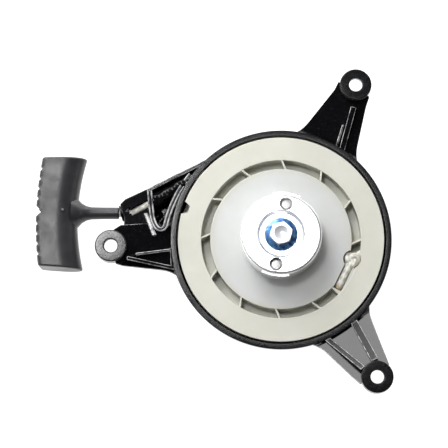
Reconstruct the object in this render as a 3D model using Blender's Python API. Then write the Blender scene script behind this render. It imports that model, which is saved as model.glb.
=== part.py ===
"""Recoil starter of a small engine, seen from its engine side when looked at from +Z.

The reel turns about Z, the rope is pulled towards -X, and the starter lies on the flat
back of its housing at Z = 0. Every size is in metres.
"""
import math

import bmesh
import bpy
from mathutils import Matrix, Vector

for old in list(bpy.data.objects):
    bpy.data.objects.remove(old, do_unlink=True)

MM = 0.001
GAP = 0.3 * MM                  # left between pieces that touch

# Housing
PLATE_T = 2.8 * MM              # back plate
RIM_R = 65.7 * MM               # outside of the rim's lip
RIM_T = 3.5 * MM                # lip, from its inside to its outside
RIM_TOP = 27.5 * MM
LIP_H = 3.2 * MM
LIP_STEP = 1.7 * MM             # how far the lip stands out from the wall
POST_R = 7.4 * MM               # centre post that the reel turns on
VENT_COUNT = 12
VENT_W = 5.0 * MM
VENT_L = 10.5 * MM
PAD_CIRCLE_R = 100.0 * MM       # circle of the three mounting holes
PAD_R = 9.4 * MM
PAD_TOP = 45.0 * MM             # face that meets the engine
PAD_HOLE_R = 3.9 * MM
PAD_STEP = 2.0 * MM             # how far a pad stands above its arm
PAD_T = 9.6 * MM
PAD_WEB_T = 4.5 * MM            # what is left of it above the pocket in its underside
ARM_T = 3.2 * MM
RIB_H = 1.8 * MM                # ribs on an arm, above its plate at the rim
RIB_H_NECK = 6.2 * MM           # and above its plate at the pad
GUSSET_T = 3.0 * MM
OUTLET_LOW = 12.0 * MM          # underside of the block that the rope leaves through
POCKET_FLOOR = 14.5 * MM
SIDE_WALL = 6.3 * MM            # outer face of that block, from the rope's centre
ROPE_WINDOW_AT = 9.5 * MM       # where the window over the rope starts, from the eyelet
ROPE_WINDOW_L = 10.0 * MM
EYELET_OUT = 28.8 * MM          # eyelet, outside the rim
EYELET_SEAT_R = 4.3 * MM
EYELET_FLANGE_R = 4.9 * MM

# Reel
REEL_CLEAR = 1.0 * MM           # between the reel and the inside of the rim
REEL_FACE = 28.0 * MM           # front face of the reel
FLANGE_T = 2.4 * MM
FLANGE_OVER = 2.0 * MM          # how far a flange stands out beyond the rope
DRUM_T = 2.0 * MM
CORE_W = 5.4 * MM               # ring groove in the front, inside the drum
CORE_FLOOR = 17.6 * MM
WEB_T = 2.4 * MM
HUB_R = 23.6 * MM               # raised hub under the cover
HUB_TOP = 36.5 * MM
BOSS_R = 13.2 * MM              # rear boss, inside the mainspring
BUSH_T = 1.7 * MM
RIB_COUNT = 12
RIB_T = 1.1 * MM
RIB_SLANT = 4.0                 # degrees
RIB_FIRST = 87.5                # degrees
KNOT_DEG = -16.0                # where the rope is knotted
TAIL_DEG = -41.5                # where its tail ends
KNOT_R = 4.7 * MM
NOTCH_DEG = 162.0               # notch in the front flange

# Rope and handle
ROPE_R = 2.2 * MM
LAYER_GAP = 0.4 * MM            # between two layers of rope
WHOLE_TURNS = 3                 # plus the part turn up to the outlet
STEM_Y = 16.2 * MM
EYELET_TILT = 15.0              # degrees between the eyelet's axis and X
STEM_R = 3.5 * MM
STEM_L = 23.5 * MM
GRIP_L = 65.6 * MM
GRIP_W = 25.2 * MM              # along the pull
GRIP_H = 22.0 * MM
GRIP_DROP = 0.9 * MM            # the grip's middle, below the stem's axis
GRIP_TILT = -1.7                # degrees, the grip hangs a little askew on its stem
TOOTH_STEP = 6.0 * MM
HANDLE_KNOT_R = 5.0 * MM
KNOT_ROOM_R = 6.6 * MM

# Mainspring
STRIP_T = 0.7 * MM
SPRING_TURNS = 8
CASE_T = 0.8 * MM
CASE_SLOT_W = 4.0 * MM          # slot that the spring's outer hook goes through

# Ratchet
COVER_R = 24.0 * MM
COVER_T = 1.5 * MM
COVER_H = 11.1 * MM             # height of the cup
COVER_TOP = 48.0 * MM
DISH_R = 13.4 * MM              # rim of the dished centre
DISH_FLOOR_R = 11.6 * MM
DISH_DEPTH = 2.5 * MM
SIGHT_HOLE_R = 3.9 * MM
PAWL_CIRCLE_R = 18.1 * MM
PAWL_DEG = 80.5
WINDOW_FROM = 62.6              # degrees
WINDOW_TO = 101.0
WINDOW_LIP = 2.8 * MM           # metal left above a window
PIN_R = 2.0 * MM
PIN_HEAD_R = 2.8 * MM
PIN_HEAD_H = 1.6 * MM
PAWL_BOSS_R = 4.0 * MM
PAWL_H = 6.2 * MM
SLEEVE_R = 6.0 * MM
BRAKE_T = 1.0 * MM
BRAKE_WIRE_R = 0.75 * MM
BOLT_R = 4.0 * MM
BOLT_FLANGE_R = 9.6 * MM
BOLT_AF = 12.0 * MM
BOLT_HEAD_H = 6.3 * MM

# Worked out from the sizes above
RIM_IN_R = RIM_R - RIM_T
WALL_R = RIM_R - LIP_STEP       # outside of the rim wall, below the lip
WALL_MID_R = (WALL_R + RIM_IN_R) / 2
REEL_R = RIM_IN_R - REEL_CLEAR
REEL_BACK = REEL_FACE - 2 * FLANGE_T - 4 * ROPE_R - 4 * GAP     # two turns lie side by side
LAYER_STEP = 2 * ROPE_R + LAYER_GAP
DRUM_R = REEL_R - FLANGE_OVER - LAYER_STEP - 2 * ROPE_R - 2 * GAP
CORE_IN_R = DRUM_R - DRUM_T - CORE_W
CASE_R = CORE_IN_R - 1.2 * MM
EYELET_X = -RIM_R - EYELET_OUT
OUTLET_TOP = RIM_TOP - 1.5 * MM
ROPE_HOLE_R = ROPE_R + 1.0 * MM
STEM_END = EYELET_X - 2.2 * MM
GRIP_IN = STEM_END - STEM_L     # stem side of the grip
GRIP_OUT = GRIP_IN - GRIP_W     # outer side
GRIP_Y = STEM_Y - GRIP_DROP
KNOT_X = GRIP_OUT + 9.5 * MM
GROOVE_LOW = REEL_BACK + FLANGE_T
GROOVE_HIGH = REEL_FACE - FLANGE_T
ROPE_LOW = GROOVE_LOW + GAP + ROPE_R
ROPE_Z = GROOVE_HIGH - GAP - ROPE_R
LAYER_1 = DRUM_R + 2 * GAP + ROPE_R
LAYER_2 = LAYER_1 + LAYER_STEP
BUSH_R = POST_R + GAP
REEL_BORE_R = BUSH_R + BUSH_T + GAP
CASE_Z = PLATE_T + GAP
SPRING_Z = CASE_Z + CASE_T + GAP
STRIP_W = REEL_BACK - SPRING_Z - MM
BOSS_Z = SPRING_Z + GAP
POST_TOP = HUB_TOP - 2.5 * MM
WASHER_Z = POST_TOP + GAP
WASHER_T = 1.0 * MM
SLEEVE_Z = WASHER_Z + WASHER_T + GAP
DISH_TOP = COVER_TOP - DISH_DEPTH
BOLT_Z = DISH_TOP + 0.5 * MM
PAWL_Z = HUB_TOP + 0.4 * MM
PIN_HEAD_Z = PAWL_Z + PAWL_H + GAP
ARM_TOP = PAD_TOP - PAD_STEP
BRAKE_R = PAWL_CIRCLE_R - PAWL_BOSS_R - 2.7 * MM
HUB_BORE_R = PAWL_CIRCLE_R - PAWL_BOSS_R - 1.3 * MM
THRUST_R = HUB_BORE_R - 0.5 * MM
CORE_MID_R = (CORE_IN_R + DRUM_R - DRUM_T) / 2
BIG, MEDIUM, SMALL = 64, 32, 20  # sides of round pieces


# ---------------------------------------------------------------- helpers

def polar(radius, degrees, z=0.0):
    a = math.radians(degrees)
    return Vector((radius * math.cos(a), radius * math.sin(a), z))


def arc(radius, first, last, count):
    """Points from one angle to another, both included, in degrees."""
    return [polar(radius, first + (last - first) * i / count).to_2d() for i in range(count + 1)]


def paint(name, rgb, roughness, metallic=0.0):
    material = bpy.data.materials.new(name)
    material.use_nodes = True
    shader = material.node_tree.nodes["Principled BSDF"]
    shader.inputs["Base Color"].default_value = (*rgb, 1.0)
    shader.inputs["Roughness"].default_value = roughness
    shader.inputs["Metallic"].default_value = metallic
    return material


def axis_empty(name, place, parent=None):
    """An empty on a joint's axis, for the pieces that turn or slide there."""
    empty = bpy.data.objects.new(name, None)
    bpy.context.collection.objects.link(empty)
    empty.location = place
    if parent is not None:
        empty.parent = parent
        empty.location = Vector(place) - parent.matrix_world.translation
    bpy.context.view_layer.update()
    return empty


def add_object(name, bm, material=None, parent=None):
    """Make an object of a bmesh that is in world space, with its origin on its parent's."""
    bmesh.ops.recalc_face_normals(bm, faces=bm.faces)
    if bm.calc_volume(signed=True) < 0:
        bmesh.ops.reverse_faces(bm, faces=bm.faces)
    if parent is not None:
        bmesh.ops.translate(bm, vec=-parent.matrix_world.translation, verts=bm.verts)
    mesh = bpy.data.meshes.new(name)
    bm.to_mesh(mesh)
    bm.free()
    mesh.shade_smooth()
    mesh.set_sharp_from_angle(angle=math.radians(35))
    obj = bpy.data.objects.new(name, mesh)
    bpy.context.collection.objects.link(obj)
    if parent is not None:
        obj.parent = parent
    if material is not None:
        mesh.materials.append(material)
    return obj


def turned(profile, steps, closed=True, center=(0, 0, 0)):
    """Turn a profile of (radius, height) points about Z. An open one starts and ends on the axis."""
    bm = bmesh.new()
    verts = [bm.verts.new((r, 0, z)) for r, z in profile]
    pairs = zip(verts, verts[1:] + verts[:1]) if closed else zip(verts, verts[1:])
    edges = [bm.edges.new(pair) for pair in pairs]
    bmesh.ops.spin(bm, geom=verts + edges, cent=(0, 0, 0), axis=(0, 0, 1), angle=math.tau,
                   steps=steps, use_merge=True)
    bmesh.ops.remove_doubles(bm, verts=bm.verts, dist=1e-6)
    bmesh.ops.translate(bm, vec=center, verts=bm.verts)
    return bm


def prism(outline, low, high):
    """Extrude a plan outline from one height to another."""
    bm = bmesh.new()
    face = bm.faces.new([bm.verts.new((x, y, low)) for x, y in outline])
    extruded = bmesh.ops.extrude_face_region(bm, geom=[face])["geom"]
    top = [v for v in extruded if isinstance(v, bmesh.types.BMVert)]
    bmesh.ops.translate(bm, vec=(0, 0, high - low), verts=top)
    return bm


def rod(start, end, radius, steps=SMALL):
    """A cylinder between two points."""
    start, end = Vector(start), Vector(end)
    bm = bmesh.new()
    bmesh.ops.create_cone(bm, cap_ends=True, segments=steps, radius1=radius, radius2=radius,
                          depth=(end - start).length)
    turn = Vector((0, 0, 1)).rotation_difference(end - start).to_matrix().to_4x4()
    bm.transform(Matrix.Translation((start + end) / 2) @ turn)
    return bm


def combine(target, bm, operation, parent=None):
    """Add or cut a bmesh with an exact Boolean."""
    tool = add_object(f"{target.name}.tool", bm, parent=parent)
    tool.hide_render = True
    tool.display_type = "WIRE"
    modifier = target.modifiers.new(operation.lower(), "BOOLEAN")
    modifier.operation = operation
    modifier.object = tool
    modifier.solver = "EXACT"
    return tool


def tube(name, points, radius, material, parent, sides=2):
    """A round rod along points, as a curve with a bevel."""
    curve = bpy.data.curves.new(name, "CURVE")
    curve.dimensions = "3D"
    curve.bevel_depth = radius
    curve.bevel_resolution = sides
    curve.use_fill_caps = True
    spline = curve.splines.new("POLY")
    spline.points.add(len(points) - 1)
    origin = parent.matrix_world.translation
    for spot, point in zip(spline.points, points):
        spot.co = (*(Vector(point) - origin), 1.0)
    obj = bpy.data.objects.new(name, curve)
    bpy.context.collection.objects.link(obj)
    obj.parent = parent
    curve.materials.append(material)
    return obj


def coil(radius, low, high, turns, steps, center=(0, 0)):
    """Points of a helix about Z."""
    count = round(turns * steps)
    points = []
    for i in range(count + 1):
        spot = polar(radius, 360 * turns * i / count, low + (high - low) * i / count)
        points.append(spot + Vector((*center, 0)))
    return points


# ---------------------------------------------------------------- materials

BLACK_CASTING = paint("black_casting", (0.012, 0.012, 0.014), 0.28)
NYLON = paint("nylon", (0.78, 0.76, 0.62), 0.45)
ROPE = paint("rope", (0.85, 0.83, 0.78), 0.9)
GREY_RUBBER = paint("grey_rubber", (0.26, 0.26, 0.30), 0.6)
BRIGHT_STEEL = paint("bright_steel", (0.80, 0.80, 0.82), 0.22, 1.0)
BLUE_ZINC = paint("blue_zinc", (0.22, 0.38, 0.55), 0.3, 1.0)
SPRING_STEEL = paint("spring_steel", (0.32, 0.33, 0.36), 0.35, 1.0)
BRONZE = paint("bronze", (0.60, 0.40, 0.20), 0.45, 1.0)

HOUSING_AXIS = axis_empty("housing_axis", (0, 0, 0))
REEL_AXIS = axis_empty("reel_axis", (0, 0, 0), HOUSING_AXIS)
COVER_AXIS = axis_empty("cover_axis", (0, 0, 0), REEL_AXIS)
HANDLE_AXIS = axis_empty("handle_axis", (STEM_END, STEM_Y, ROPE_Z), HOUSING_AXIS)

# ---------------------------------------------------------------- rope line

EYELET = Vector((EYELET_X, STEM_Y, ROPE_Z))
EYELET_AXIS = -polar(1.0, EYELET_TILT)          # points out of the housing
EYELET_R = EYELET.to_2d().length
LEAVE_DEG = math.degrees(math.atan2(EYELET.y, EYELET.x) - math.acos(LAYER_2 / EYELET_R))
LEAVE = polar(LAYER_2, LEAVE_DEG, ROPE_Z)        # where the rope leaves the winding
ROPE_WAY = (LEAVE - EYELET).normalized()         # from the eyelet towards the reel
ROPE_SIDE = Vector((-ROPE_WAY.y, ROPE_WAY.x, 0))
START_DEG = -5.0                                 # where the winding starts
TURNS = WHOLE_TURNS + (LEAVE_DEG - START_DEG) / 360


def beside_rope(along, side, z=0.0):
    """A point given along the straight rope from the eyelet, and to its outer side."""
    spot = EYELET + ROPE_WAY * along + ROPE_SIDE * side
    return Vector((spot.x, spot.y, z))


# ---------------------------------------------------------------- housing

class Arm:
    """An arm of the housing, from the rim up to a mounting pad."""

    def __init__(self, pad_deg, root, neck, neck_back):
        self.pad_deg = pad_deg
        self.way = polar(1.0, pad_deg)
        self.side = Vector((-self.way.y, self.way.x, 0))
        self.pad = self.way * PAD_CIRCLE_R
        self.root = root                # where its two edges meet the rim, in degrees
        self.neck = neck                # half widths at the pad
        self.neck_back = neck_back      # how far inside the pad's centre these are

    def spot(self, along, side):
        """A plan point given from the reel's axis along the arm, and to its left."""
        return (self.way * along + self.side * side).to_2d()

    def edge(self, which):
        """One edge of the arm, from the neck down to the rim, with a flare at its foot."""
        sign = 1 if which else -1
        tip = self.spot(PAD_CIRCLE_R - 2 * MM, sign * (PAD_R + 0.8 * MM))
        neck = self.spot(PAD_CIRCLE_R - self.neck_back[which], sign * self.neck[which])
        root = polar(RIM_R - MM, self.root[which]).to_2d()
        start = root + (neck - root).normalized() * 8 * MM
        end = polar(WALL_MID_R, self.root[which] + sign * 7.5).to_2d()
        flare = [start.lerp(root, t).lerp(root.lerp(end, t), t) for t in (0, 0.25, 0.5, 0.75, 1)]
        return [tip, neck] + flare

    def outline(self):
        right, left = self.edge(0), self.edge(1)
        inner = arc(WALL_MID_R, self.root[1] + 7.5, self.root[0] - 7.5, 10)[1:-1]
        return right[::-1] + left + inner

    def drape(self, outline, thickness=None):
        """The arm's plate, or a rib that stands up from it, on the arm's slope."""
        foot, neck = RIM_R - MM, PAD_CIRCLE_R - PAD_R - MM
        bm = prism(outline, 0.0, 1.0)
        for along in (foot, neck):
            geom = bm.verts[:] + bm.edges[:] + bm.faces[:]
            bmesh.ops.bisect_plane(bm, geom=geom, dist=1e-6, plane_co=self.way * along,
                                   plane_no=self.way)
        for v in bm.verts:
            share = min(max((v.co.dot(self.way) - foot) / (neck - foot), 0.0), 1.0)
            rib_top = RIM_TOP - 0.2 * MM + share * (ARM_TOP - RIM_TOP)
            plate_top = rib_top - RIB_H - share * (RIB_H_NECK - RIB_H)
            if thickness is None:
                v.co.z = rib_top if v.co.z > 0.5 else plate_top - MM
            else:
                v.co.z = plate_top if v.co.z > 0.5 else plate_top - thickness
        return bm

    def strip(self, start_side, end_back, end_side, width):
        """Plan outline of a straight rib from the rim towards the pad."""
        a = self.spot(RIB_START, start_side)
        b = self.spot(PAD_CIRCLE_R - end_back, end_side)
        way = (b - a).normalized()
        off = Vector((-way.y, way.x)) * width / 2
        return [a - off, b - off, b + off, a + off]


ARMS = [
    Arm(183.7, (170.5, 197.2), (12.8 * MM, 11.5 * MM), (6 * MM, 6 * MM)),
    Arm(63.7, (47.3, 80.4), (11.0 * MM, 10.4 * MM), (8 * MM, 7 * MM)),
    Arm(303.7, (288.4, 321.4), (11.2 * MM, 11.4 * MM), (6 * MM, 7 * MM)),
]
RIB_START = RIM_IN_R - 0.2 * MM
# ribs of each arm: side at the start, how far inside the pad's centre and at which side it ends, width
ARM_RIBS = [
    [(13.5 * MM, 9 * MM, 7.6 * MM, 2.2 * MM), (2.0 * MM, 14 * MM, 5.4 * MM, 1.8 * MM)],
    [(-9.0 * MM, 12 * MM, -4.6 * MM, 3.6 * MM)],
    [(-10.6 * MM, 10 * MM, -4.2 * MM, 2.4 * MM), (8.6 * MM, 10 * MM, 4.6 * MM, 3.6 * MM)],
]


def make_housing():
    r, well = WALL_R, REEL_BACK
    profile = [(0, 0), (r - 7.6 * MM, 0), (r - 4.6 * MM, 1.1 * MM), (r - 2.9 * MM, 4.2 * MM),
               (r - 1.4 * MM, well - 4.2 * MM), (r - 0.2 * MM, well + 1.2 * MM),
               (r, RIM_TOP - LIP_H - 0.9 * MM), (RIM_R, RIM_TOP - LIP_H),
               (RIM_R, RIM_TOP - 0.4 * MM), (RIM_R - 0.4 * MM, RIM_TOP),
               (RIM_IN_R + 0.4 * MM, RIM_TOP), (RIM_IN_R, RIM_TOP - 0.4 * MM), (RIM_IN_R, well),
               (RIM_IN_R - 1.4 * MM, well - 5.2 * MM), (RIM_IN_R - 2.9 * MM, PLATE_T + 1.9 * MM),
               (RIM_IN_R - 4.8 * MM, PLATE_T), (POST_R, PLATE_T), (POST_R, POST_TOP),
               (BOLT_R + GAP, POST_TOP), (BOLT_R + GAP, 11.5 * MM), (0, 11.5 * MM)]
    housing = add_object("housing", turned(profile, BIG, closed=False), BLACK_CASTING, HOUSING_AXIS)
    for arm, ribs in zip(ARMS, ARM_RIBS):
        combine(housing, arm.drape(arm.outline(), ARM_T), "UNION")
        for rib in ribs:
            combine(housing, arm.drape(arm.strip(*rib)), "UNION")
        combine(housing, gusset(arm), "UNION")
        pad = arm.pad
        combine(housing, rod((pad.x, pad.y, PAD_TOP - PAD_T), (pad.x, pad.y, PAD_TOP), PAD_R, 32),
                "UNION")
    add_outlet(housing)
    for arm in ARMS:
        low, high = Vector(arm.pad), Vector(arm.pad)
        low.z, high.z = PAD_TOP - 2 * PAD_T, PAD_TOP + MM
        combine(housing, rod(low, high, PAD_HOLE_R), "DIFFERENCE")
        high.z = PAD_TOP - PAD_WEB_T
        combine(housing, rod(low, high, PAD_HOLE_R + 2.2 * MM), "DIFFERENCE")
    for i in range(VENT_COUNT):
        turn = Matrix.Rotation(math.tau * (i + 0.5) / VENT_COUNT, 4, "Z")
        far = CASE_R + 2.2 * MM + VENT_L
        vent = prism([(far - VENT_L, -VENT_W / 2), (far, -VENT_W / 2), (far, VENT_W / 2),
                      (far - VENT_L, VENT_W / 2)], -MM, PLATE_T + MM)
        vent.transform(turn)
        combine(housing, vent, "DIFFERENCE")
    return housing


def gusset(arm):
    """The web under an arm, from the rim wall to the underside of its pad."""
    bm = bmesh.new()
    near, far = WALL_MID_R, PAD_CIRCLE_R - PAD_HOLE_R - 3.4 * MM
    under = ARM_TOP - RIB_H_NECK - ARM_T
    side = [(near, REEL_BACK + MM), (far, under - MM), (far, under + MM),
            (PAD_CIRCLE_R - PAD_R, under + MM), (near, RIM_TOP - 5 * MM)]
    face = bm.faces.new([bm.verts.new((along, -GUSSET_T / 2, z)) for along, z in side])
    extruded = bmesh.ops.extrude_face_region(bm, geom=[face])["geom"]
    moved = [v for v in extruded if isinstance(v, bmesh.types.BMVert)]
    bmesh.ops.translate(bm, vec=(0, GUSSET_T, 0), verts=moved)
    bm.transform(Matrix.Rotation(math.radians(arm.pad_deg), 4, "Z"))
    return bm


def add_outlet(housing):
    """The block that leads the rope from the reel to the eyelet, with its open pocket."""
    face = [EYELET + Vector((-EYELET_AXIS.y, EYELET_AXIS.x, 0)) * s for s in (4.8 * MM, -5.0 * MM)]
    rim_far = polar(RIM_R - MM, LEAVE_DEG + 10.5)
    outline = [face[0], face[1], beside_rope(5 * MM, SIDE_WALL), beside_rope(21 * MM, SIDE_WALL)]
    outline += [rim_far] + [polar(WALL_MID_R, 132 + 6 * i) for i in range(8)]
    outline += [Vector((-RIM_R - 14.3 * MM, MM, 0)), Vector((EYELET_X + MM, 5 * MM, 0))]
    combine(housing, prism([p.to_2d() for p in outline], OUTLET_LOW, OUTLET_TOP), "UNION")
    # raised wall along the outer side, and the raised rib beside the pocket
    wall = [beside_rope(19 * MM, SIDE_WALL - 0.1 * MM), rim_far + ROPE_WAY * MM,
            rim_far - ROPE_SIDE * 2.4 * MM, beside_rope(19 * MM, SIDE_WALL - 2.5 * MM)]
    combine(housing, prism([p.to_2d() for p in wall], ROPE_Z, RIM_TOP - 0.1 * MM), "UNION")
    top, foot = beside_rope(20.5 * MM, SIDE_WALL - MM), Vector((-RIM_R - 7.3 * MM, 4.5 * MM, 0))
    across = Vector(((foot - top).y, -(foot - top).x, 0)).normalized() * 1.2 * MM
    rib = [top - across, foot - across, foot + across, top + across]
    combine(housing, prism([p.to_2d() for p in rib], OUTLET_LOW + MM, RIM_TOP - 0.05 * MM), "UNION")
    pocket = [beside_rope(22.4 * MM, SIDE_WALL - 2.4 * MM), foot - 1.6 * across + Vector((0, 2.5 * MM, 0)),
              foot + Vector((5 * MM, 1.8 * MM, 0))]
    pocket += [polar(RIM_R + 0.2 * MM, d) for d in (173, 165, 157, 149, 141)]
    combine(housing, prism([p.to_2d() for p in pocket], POCKET_FLOOR, RIM_TOP + MM), "DIFFERENCE")
    hump_r = ROPE_R + 2.3 * MM
    clear = math.sqrt((RIM_IN_R + MM) ** 2 - (LAYER_2 - hump_r) ** 2)
    hump = rod(EYELET + ROPE_WAY * 16 * MM, LEAVE - ROPE_WAY * clear, hump_r)
    combine(housing, hump, "UNION")
    combine(housing, rod(EYELET - ROPE_WAY * 6 * MM, LEAVE - ROPE_WAY * 2 * MM, ROPE_HOLE_R), "DIFFERENCE")
    seat = rod(EYELET - EYELET_AXIS * 5 * MM, EYELET + EYELET_AXIS * 4 * MM, EYELET_SEAT_R + GAP)
    combine(housing, seat, "DIFFERENCE")
    near, far, half = ROPE_WINDOW_AT, ROPE_WINDOW_AT + ROPE_WINDOW_L, ROPE_R - GAP
    window = [beside_rope(near, -half), beside_rope(far, -half), beside_rope(far, half),
              beside_rope(near, half)]
    combine(housing, prism([p.to_2d() for p in window], ROPE_Z, RIM_TOP + MM), "DIFFERENCE")


def make_eyelet():
    """Bush with a trumpet-shaped bore, its flange on the outlet face."""
    profile = [(4.0 * MM, -4.0 * MM), (EYELET_SEAT_R, -4.0 * MM), (EYELET_SEAT_R, GAP),
               (EYELET_FLANGE_R, GAP), (EYELET_FLANGE_R, 1.1 * MM), (3.8 * MM, 1.3 * MM),
               (3.1 * MM, 0.4 * MM), (2.9 * MM, -1.4 * MM), (3.2 * MM, -3.0 * MM)]
    bm = turned(profile, SMALL)
    turn = Vector((0, 0, 1)).rotation_difference(EYELET_AXIS).to_matrix().to_4x4()
    bm.transform(Matrix.Translation(EYELET) @ turn)
    add_object("rope_eyelet", bm, BRIGHT_STEEL, HOUSING_AXIS)


# ---------------------------------------------------------------- mainspring

def make_spring_case():
    r = CASE_R
    top = REEL_BACK - GAP - 0.2 * MM
    profile = [(10 * MM, CASE_Z), (r, CASE_Z), (r, top), (r - CASE_T, top),
               (r - CASE_T, CASE_Z + CASE_T), (10 * MM, CASE_Z + CASE_T)]
    case = add_object("spring_case", turned(profile, BIG), SPRING_STEEL, HOUSING_AXIS)
    half = CASE_SLOT_W / 2
    slot = prism([(r - 2 * MM, -half), (r + MM, -half), (r + MM, half), (r - 2 * MM, half)],
                 CASE_Z + CASE_T + 0.1 * MM, top + MM)
    combine(case, slot, "DIFFERENCE")


def make_mainspring():
    """A flat strip wound into a spiral, hooked to the reel inside and to its case outside."""
    inner, outer = BOSS_R + 1.3 * MM, CASE_R - CASE_T - 1.1 * MM
    steps = 24
    count = SPRING_TURNS * steps
    middle = [polar(inner + (outer - inner) * i / count, 360.0 * i / steps) for i in range(count + 1)]
    hook_in = polar(BOSS_R - 0.6 * MM, -5)
    hook_out = Vector((CASE_R - 0.5 * CASE_T, CASE_SLOT_W / 2 - 0.45 * MM, 0))
    middle = [hook_in] + middle + [hook_out]
    bm = bmesh.new()
    rows = []
    for i, spot in enumerate(middle):
        before, after = middle[max(i - 1, 0)], middle[min(i + 1, len(middle) - 1)]
        way = (after - before).normalized()
        off = Vector((-way.y, way.x, 0)) * STRIP_T / 2
        rows.append([bm.verts.new((s.x, s.y, SPRING_Z)) for s in (spot - off, spot + off)])
    faces = [bm.faces.new((a[0], b[0], b[1], a[1])) for a, b in zip(rows, rows[1:])]
    extruded = bmesh.ops.extrude_face_region(bm, geom=faces)["geom"]
    moved = [v for v in extruded if isinstance(v, bmesh.types.BMVert)]
    bmesh.ops.translate(bm, vec=(0, 0, STRIP_W), verts=moved)
    add_object("mainspring", bm, SPRING_STEEL, HOUSING_AXIS)


# ---------------------------------------------------------------- reel

def make_reel():
    drum_in = DRUM_R - DRUM_T
    web_low = REEL_FACE - WEB_T
    profile = [(REEL_BORE_R, BOSS_Z), (BOSS_R, BOSS_Z), (BOSS_R, REEL_BACK), (16 * MM, REEL_BACK),
               (16 * MM, web_low), (CORE_IN_R - 1.8 * MM, web_low), (CORE_IN_R - 1.8 * MM, REEL_BACK),
               (REEL_R, REEL_BACK), (REEL_R, GROOVE_LOW), (DRUM_R, GROOVE_LOW),
               (DRUM_R, GROOVE_HIGH), (REEL_R, GROOVE_HIGH), (REEL_R, REEL_FACE - 0.5 * MM),
               (REEL_R - 0.5 * MM, REEL_FACE), (drum_in, REEL_FACE), (drum_in, CORE_FLOOR),
               (CORE_IN_R, CORE_FLOOR), (CORE_IN_R, REEL_FACE), (HUB_R + 0.8 * MM, REEL_FACE),
               (HUB_R, REEL_FACE + 0.8 * MM), (HUB_R, HUB_TOP), (HUB_BORE_R, HUB_TOP),
               (HUB_BORE_R, POST_TOP - GAP), (REEL_BORE_R, POST_TOP - GAP)]
    reel = add_object("reel", turned(profile, BIG), NYLON, REEL_AXIS)
    top = REEL_FACE - 0.3 * MM
    for i in range(RIB_COUNT):
        angle = RIB_FIRST + 360 / RIB_COUNT * i
        if abs((angle - (KNOT_DEG + TAIL_DEG) / 2 + 180) % 360 - 180) < 180 / RIB_COUNT:
            continue
        inner = polar(CORE_IN_R - 0.6 * MM, angle - RIB_SLANT / 2)
        outer = polar(drum_in + 0.6 * MM, angle + RIB_SLANT / 2)
        way = (outer - inner).normalized()
        off = Vector((-way.y, way.x, 0)) * RIB_T / 2
        rib = [p.to_2d() for p in (inner - off, outer - off, outer + off, inner + off)]
        combine(reel, prism(rib, CORE_FLOOR - 0.5 * MM, top), "UNION", REEL_AXIS)
    block = [*arc(CORE_IN_R - 0.5 * MM, TAIL_DEG - 3, KNOT_DEG - 6, 4),
             *arc(drum_in + 0.5 * MM, KNOT_DEG - 6, TAIL_DEG - 3, 4)]
    combine(reel, prism(block, CORE_FLOOR - 0.5 * MM, top), "UNION", REEL_AXIS)
    knot = knot_place()
    pocket = rod((knot.x, knot.y, CORE_FLOOR), (knot.x, knot.y, REEL_FACE + MM), KNOT_R + 0.6 * MM)
    combine(reel, pocket, "DIFFERENCE", REEL_AXIS)
    tail = tail_points()
    way = (tail[-1] - tail[0]).to_2d().normalized()
    off = Vector((-way.y, way.x)) * (ROPE_R + 0.4 * MM)
    near, far = tail[0].to_2d(), tail[-1].to_2d() + way * 0.6 * MM
    channel = prism([near - off, far - off, far + off, near + off], tail[-1].z - ROPE_R - GAP,
                    REEL_FACE + MM)
    combine(reel, channel, "DIFFERENCE", REEL_AXIS)
    lead = lead_points()
    combine(reel, rod(lead[0], lead[-1], ROPE_R + 0.35 * MM), "DIFFERENCE", REEL_AXIS)
    notch = prism([polar(REEL_R + MM, NOTCH_DEG - 4).to_2d(), polar(REEL_R + MM, NOTCH_DEG + 4).to_2d(),
                   polar(REEL_R - 3.6 * MM, NOTCH_DEG + 2).to_2d(),
                   polar(REEL_R - 3.6 * MM, NOTCH_DEG - 2).to_2d()],
                  GROOVE_HIGH - MM, REEL_FACE + MM)
    combine(reel, notch, "DIFFERENCE", REEL_AXIS)
    for side in (0, 180):
        place = polar(PAWL_CIRCLE_R, PAWL_DEG + side)
        hole = rod((place.x, place.y, REEL_FACE - 1.0 * MM), (place.x, place.y, HUB_TOP + MM), PIN_R + GAP)
        combine(reel, hole, "DIFFERENCE", REEL_AXIS)
        seat = rod((place.x, place.y, HUB_TOP - 3.2 * MM), (place.x, place.y, HUB_TOP + MM), PAWL_BOSS_R)
        combine(reel, seat, "DIFFERENCE", REEL_AXIS)
    slot = prism([(BOSS_R - 1.8 * MM, -3 * MM), (BOSS_R + MM, -3 * MM), (BOSS_R + MM, 1.5 * MM),
                  (BOSS_R - 1.8 * MM, 1.5 * MM)], BOSS_Z - MM, SPRING_Z + STRIP_W + GAP)
    combine(reel, slot, "DIFFERENCE", REEL_AXIS)


def knot_place():
    return polar(CORE_MID_R - 0.9 * MM, KNOT_DEG, REEL_FACE - 4.4 * MM)


def tail_points():
    """From the knot to the end of the rope's tail, in the channel of the reel's face."""
    knot = knot_place()
    height = REEL_FACE - ROPE_R - GAP
    return [Vector((knot.x, knot.y, height)), polar(CORE_MID_R, TAIL_DEG, height)]


def lead_points():
    """From the knot out through the drum's wall to the start of the winding."""
    return [winding_point(0.0), knot_place()]


def make_bush():
    inner, outer = BUSH_R, BUSH_R + BUSH_T
    profile = [(inner, BOSS_Z + 0.4 * MM), (outer, BOSS_Z + 0.4 * MM), (outer, POST_TOP - 2 * GAP),
               (inner, POST_TOP - 2 * GAP)]
    add_object("reel_bush", turned(profile, MEDIUM), BRONZE, REEL_AXIS)


# ---------------------------------------------------------------- rope

def ease(value, start, end):
    share = min(max((value - start) / (end - start), 0.0), 1.0)
    return share * share * (3 - 2 * share)


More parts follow.
